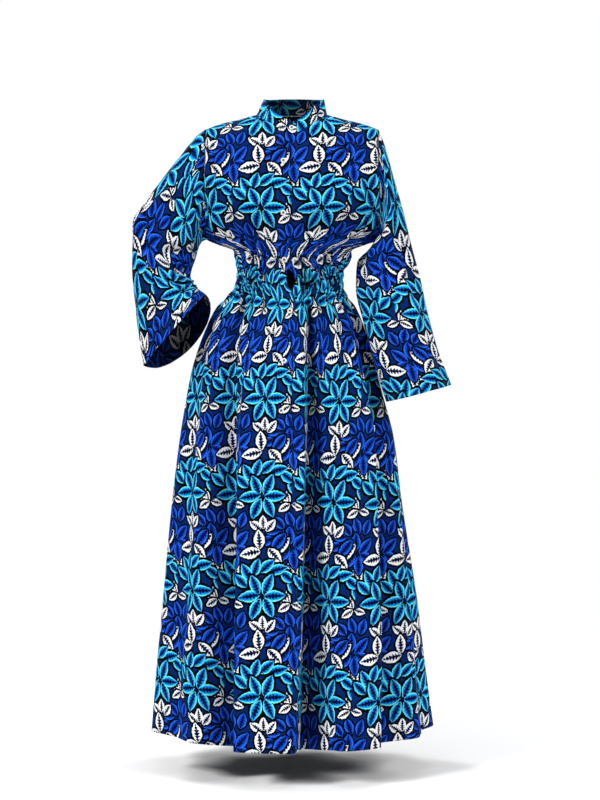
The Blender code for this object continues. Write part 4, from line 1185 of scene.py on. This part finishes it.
def disc():
    """A button as a grid of rings between the middles of its face and its back, with its radius as the
    first coordinate of its UV map."""
    radius = np.sin(np.linspace(0.0, math.pi / 2, BUTTON_RINGS))[1:] * BUTTON_RADIUS
    turn = np.linspace(0, 2 * math.pi, BUTTON_ROUND, endpoint=False)
    x, y = radius[:, None] * np.cos(turn), radius[:, None] * np.sin(turn)
    face = np.stack([x, y, button_height(x, y)], axis=-1).reshape(-1, 3)
    middle = float(button_height(np.zeros(1), np.zeros(1))[0])
    points = np.concatenate([[[0, 0, middle]], face, [[0, 0, 0]]])
    flat = np.stack([np.hypot(points[:, 0], points[:, 1]) / BUTTON_RADIUS,
                     np.arctan2(points[:, 1], points[:, 0]) / 6], axis=-1)
    index = numbered(x.shape, 1)
    sides = quads(index, around=True)[:, TURNED_OVER]
    inner, outer = ((row, np.roll(row, -1)) for row in (index[0], index[-1]))
    fans = [np.stack([np.full(BUTTON_ROUND, 0), *inner], axis=-1),
            np.stack([np.full(BUTTON_ROUND, len(points) - 1), *outer[::-1]], axis=-1)]
    return points, np.concatenate([sides[:, [0, 1, 2]], sides[:, [0, 2, 3]], *fans]), flat


def ring_of_satin():
    """The edge of a buttonhole in satin stitch: a tube round a long oval, with fine ridges along it."""
    turn = np.linspace(0, 2 * math.pi, SATIN_RINGS, endpoint=False)[:, None]
    side = np.linspace(0, 2 * math.pi, SATIN_SIDES, endpoint=False)[None, :]
    ridge = SATIN_THICK * (1 + SATIN_RIDGE * np.sign(np.sin(SATIN_RIDGES * turn)))
    x = (BUTTONHOLE_WIDE + ridge * np.cos(side)) * np.cos(turn)
    y = (BUTTONHOLE_HALF + ridge * np.cos(side)) * np.sin(turn)
    points = np.stack([x, y, ridge * np.sin(side) * SATIN_FLAT], axis=-1)
    return points.reshape(-1, 3), quads(numbered(x.shape), around=True, along=True)[:, TURNED_OVER]


def cross_of_thread():
    """The thread that holds a button: two bars over its face, from hole to hole."""
    start = np.array([[-1, -1], [-1, 1]]) * HOLE_OUT
    along = np.linspace(0, 1, CROSS_RINGS)[None, :, None]
    middle = start[:, None] * (1 - 2 * along)
    lift = CROSS_LIFT + CROSS_BOW * np.sin(math.pi * along) - CROSS_DIP * np.abs(2 * along - 1) ** 6
    side = np.linspace(0, 2 * math.pi, CROSS_SIDES, endpoint=False)
    way = unit(np.stack([-start[:, 1], start[:, 0]], axis=-1))[:, None, None]
    loop = middle[:, :, None] + way * (np.cos(side)[:, None] * CROSS_RADIUS)
    high = np.broadcast_to(lift + np.sin(side) * CROSS_RADIUS, loop.shape[:3])
    points = np.concatenate([loop, high[..., None]], axis=-1)
    return points.reshape(-1, 3), quads(numbered(loop.shape[:3]), around=True)


# %% Setting the buttons
BUTTON_NODES = ["button_collar"] + [f"button_{number}" for number in range(1, 7)]
BUTTON_CLEAR, BUTTONHOLE_CLEAR = 0.0004, 0.0003


def placed(name, form, spot, normal, finish):
    """A form in a button's own frame, as points, faces and perhaps a flat pattern, set on the cloth at
    spot and facing along its normal."""
    points, faces, *flat = form
    across = unit(np.cross(np.array([0.0, 0.0, 1.0]), normal))
    own_frame = np.stack([across, np.cross(normal, across), normal])
    corners = flat[0][faces] if flat else None
    piece = new_piece(name, points @ own_frame + spot, faces.tolist(), finish, corners)
    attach(piece, "root")
    return piece


button_form, satin_form, cross_form = disc(), ring_of_satin(), cross_of_thread()
for node in BUTTON_NODES:
    low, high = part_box(node)
    centre = np.array([(a + b) / 2 for a, b in zip(low, high)])
    on_collar = node == "button_collar"
    on, facing = (collar_grid, collar_normals) if on_collar else (right_points, right_normals)
    on, facing = on.reshape(-1, 3), facing.reshape(-1, 3)
    nearest = np.linalg.norm(on - centre, axis=1).argmin()
    normal = facing[nearest]
    spot = centre - normal * float((centre - on[nearest]) @ normal)
    piece = placed("shell_" + node, button_form, spot + normal * BUTTON_CLEAR, normal, shell)
    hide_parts(node)
    placed("thread_" + node, cross_form, spot + normal * BUTTON_CLEAR, normal, thread)
    if not on_collar:
        placed("hole_" + node, satin_form, spot + normal * BUTTONHOLE_CLEAR, normal, thread)
print("buttons:", len(BUTTON_NODES))

# %% [markdown]
# Each cloth piece says which solid it stands for and the flat size that it was cut to, worked out from its
# own flat pattern.

# %% Every cloth piece on the frame
CLOTH_PIECES = (
    (front_right, "front_right", right_flat), (front_left, "front_left", left_flat),
    (back, "back", back_flat), (sleeve_right, "sleeve_right", sleeve_right_flat),
    (sleeve_left, "sleeve_left", sleeve_left_flat), (collar, "collar", collar_flat))
for piece, node, flat in CLOTH_PIECES:
    width, length, area = flat_size(flat)
    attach(piece, "root")
    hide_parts(node)
    print(f"{node}: cut {width:.3f} x {length:.3f} m, {area:.3f} square metres")

# %% [markdown]
# The studio is a round of pale paper under the dress and white surroundings. The paper's edge fades out, so
# that neither an edge nor a horizon shows from any side, and only the soft shadow is left. A sweep that
# curves up into a wall is usual in a studio, but it would hide the back. Broad lights from both sides of
# the camera keep the folds readable, with the left one stronger, and two weaker ones light the back.

# %% The paper
FLOOR_Z, PAPER_RADIUS, PAPER_SOLID, PAPER_HOLE = -1.52, 2.8, 1.1, 0.02
PAPER_ROUND, PAPER_RINGS = 72, 12


def paper_floor():
    """A disc of rings. Its material is the paper out to a radius and from there, more and more, clear."""
    radius = np.linspace(PAPER_HOLE, PAPER_RADIUS, PAPER_RINGS)[:, None]
    turn = np.linspace(0, 2 * math.pi, PAPER_ROUND, endpoint=False)[None, :]
    x, y = radius * np.cos(turn), radius * np.sin(turn)
    index = numbered(x.shape)
    faces = quads(index, around=True)[:, TURNED_OVER].tolist() + [index[0].tolist()]
    paper, shader, tree = material("pale paper", {"Roughness": 0.9})
    place = added(tree, "TexCoord", {}, "Object")
    across, ahead = split(place)
    feed(shader.inputs["Base Color"], mixed(noise(place, 4.0), (0.93, 0.93, 0.93), (0.95, 0.95, 0.95)))
    inside = (PAPER_RADIUS - maths("SQRT", across * across + ahead * ahead)) / (PAPER_RADIUS - PAPER_SOLID)
    feed(shader.inputs["Alpha"], clamped(inside, 0.0, 1.0))
    points = np.stack([x, y, np.full(x.shape, FLOOR_Z)], axis=-1)
    floor = new_piece("studio_paper", points, faces, paper)


paper_floor()
print("paper:", PAPER_RADIUS, "m")

# %% Light and camera
LIGHTS_AIM = Vector((0, 0, -0.6))
LIGHTS = (
    ("name", "place", "size", "power"),
    ("light_left", (-3.6, -3.3, 2.3), 1.4, 285),
    ("light_right", (4.0, -3.0, 1.7), 1.7, 185),
    ("light_top", (0.0, -0.6, 2.6), 2.0, 30),
    ("light_back_left", (-3.2, 3.6, 1.9), 1.6, 150),
    ("light_back_right", (3.4, 3.4, 1.6), 1.6, 105),
)
WORLD_UNSEEN, WORLD_SEEN = 0.20, 1.0
CAMERA_PLACE, CAMERA_DOWN, CAMERA_TALL, SENSOR = (0.019, -5.0, -0.55), 1.26, 21.2, 36

for name, place, size, power in LIGHTS[1:]:
    light = bpy.data.objects.new(name, bpy.data.lights.new(name, "AREA"))
    light.data.size, light.data.energy = size, power
    light.location = place
    light.rotation_mode = "QUATERNION"
    light.rotation_quaternion = (Vector(place) - LIGHTS_AIM).to_track_quat("Z", "Y")
    scene.collection.objects.link(light)

scene.world = bpy.data.worlds.new("white surroundings")
scene.world.use_nodes = True
world_tree = scene.world.node_tree
surroundings = world_tree.nodes["Background"]
surroundings.inputs[0].default_value = (1, 1, 1, 1)
seen = added(world_tree, "LightPath", {}, "Is Camera Ray")
feed(surroundings.inputs[1], maths("MULTIPLY_ADD", seen, WORLD_SEEN - WORLD_UNSEEN, WORLD_UNSEEN))
scene.view_settings.view_transform = "Standard"

camera = bpy.data.objects.new("camera", bpy.data.cameras.new("camera"))
camera.location = CAMERA_PLACE
camera.rotation_euler = (math.radians(90 - CAMERA_DOWN), 0, 0)
camera.data.sensor_width = SENSOR
camera.data.lens = SENSOR / 2 / math.tan(math.radians(CAMERA_TALL / 2))
scene.collection.objects.link(camera)
scene.camera = camera
print("lights:", len(LIGHTS) - 1, "lens:", round(camera.data.lens, 2), "mm")
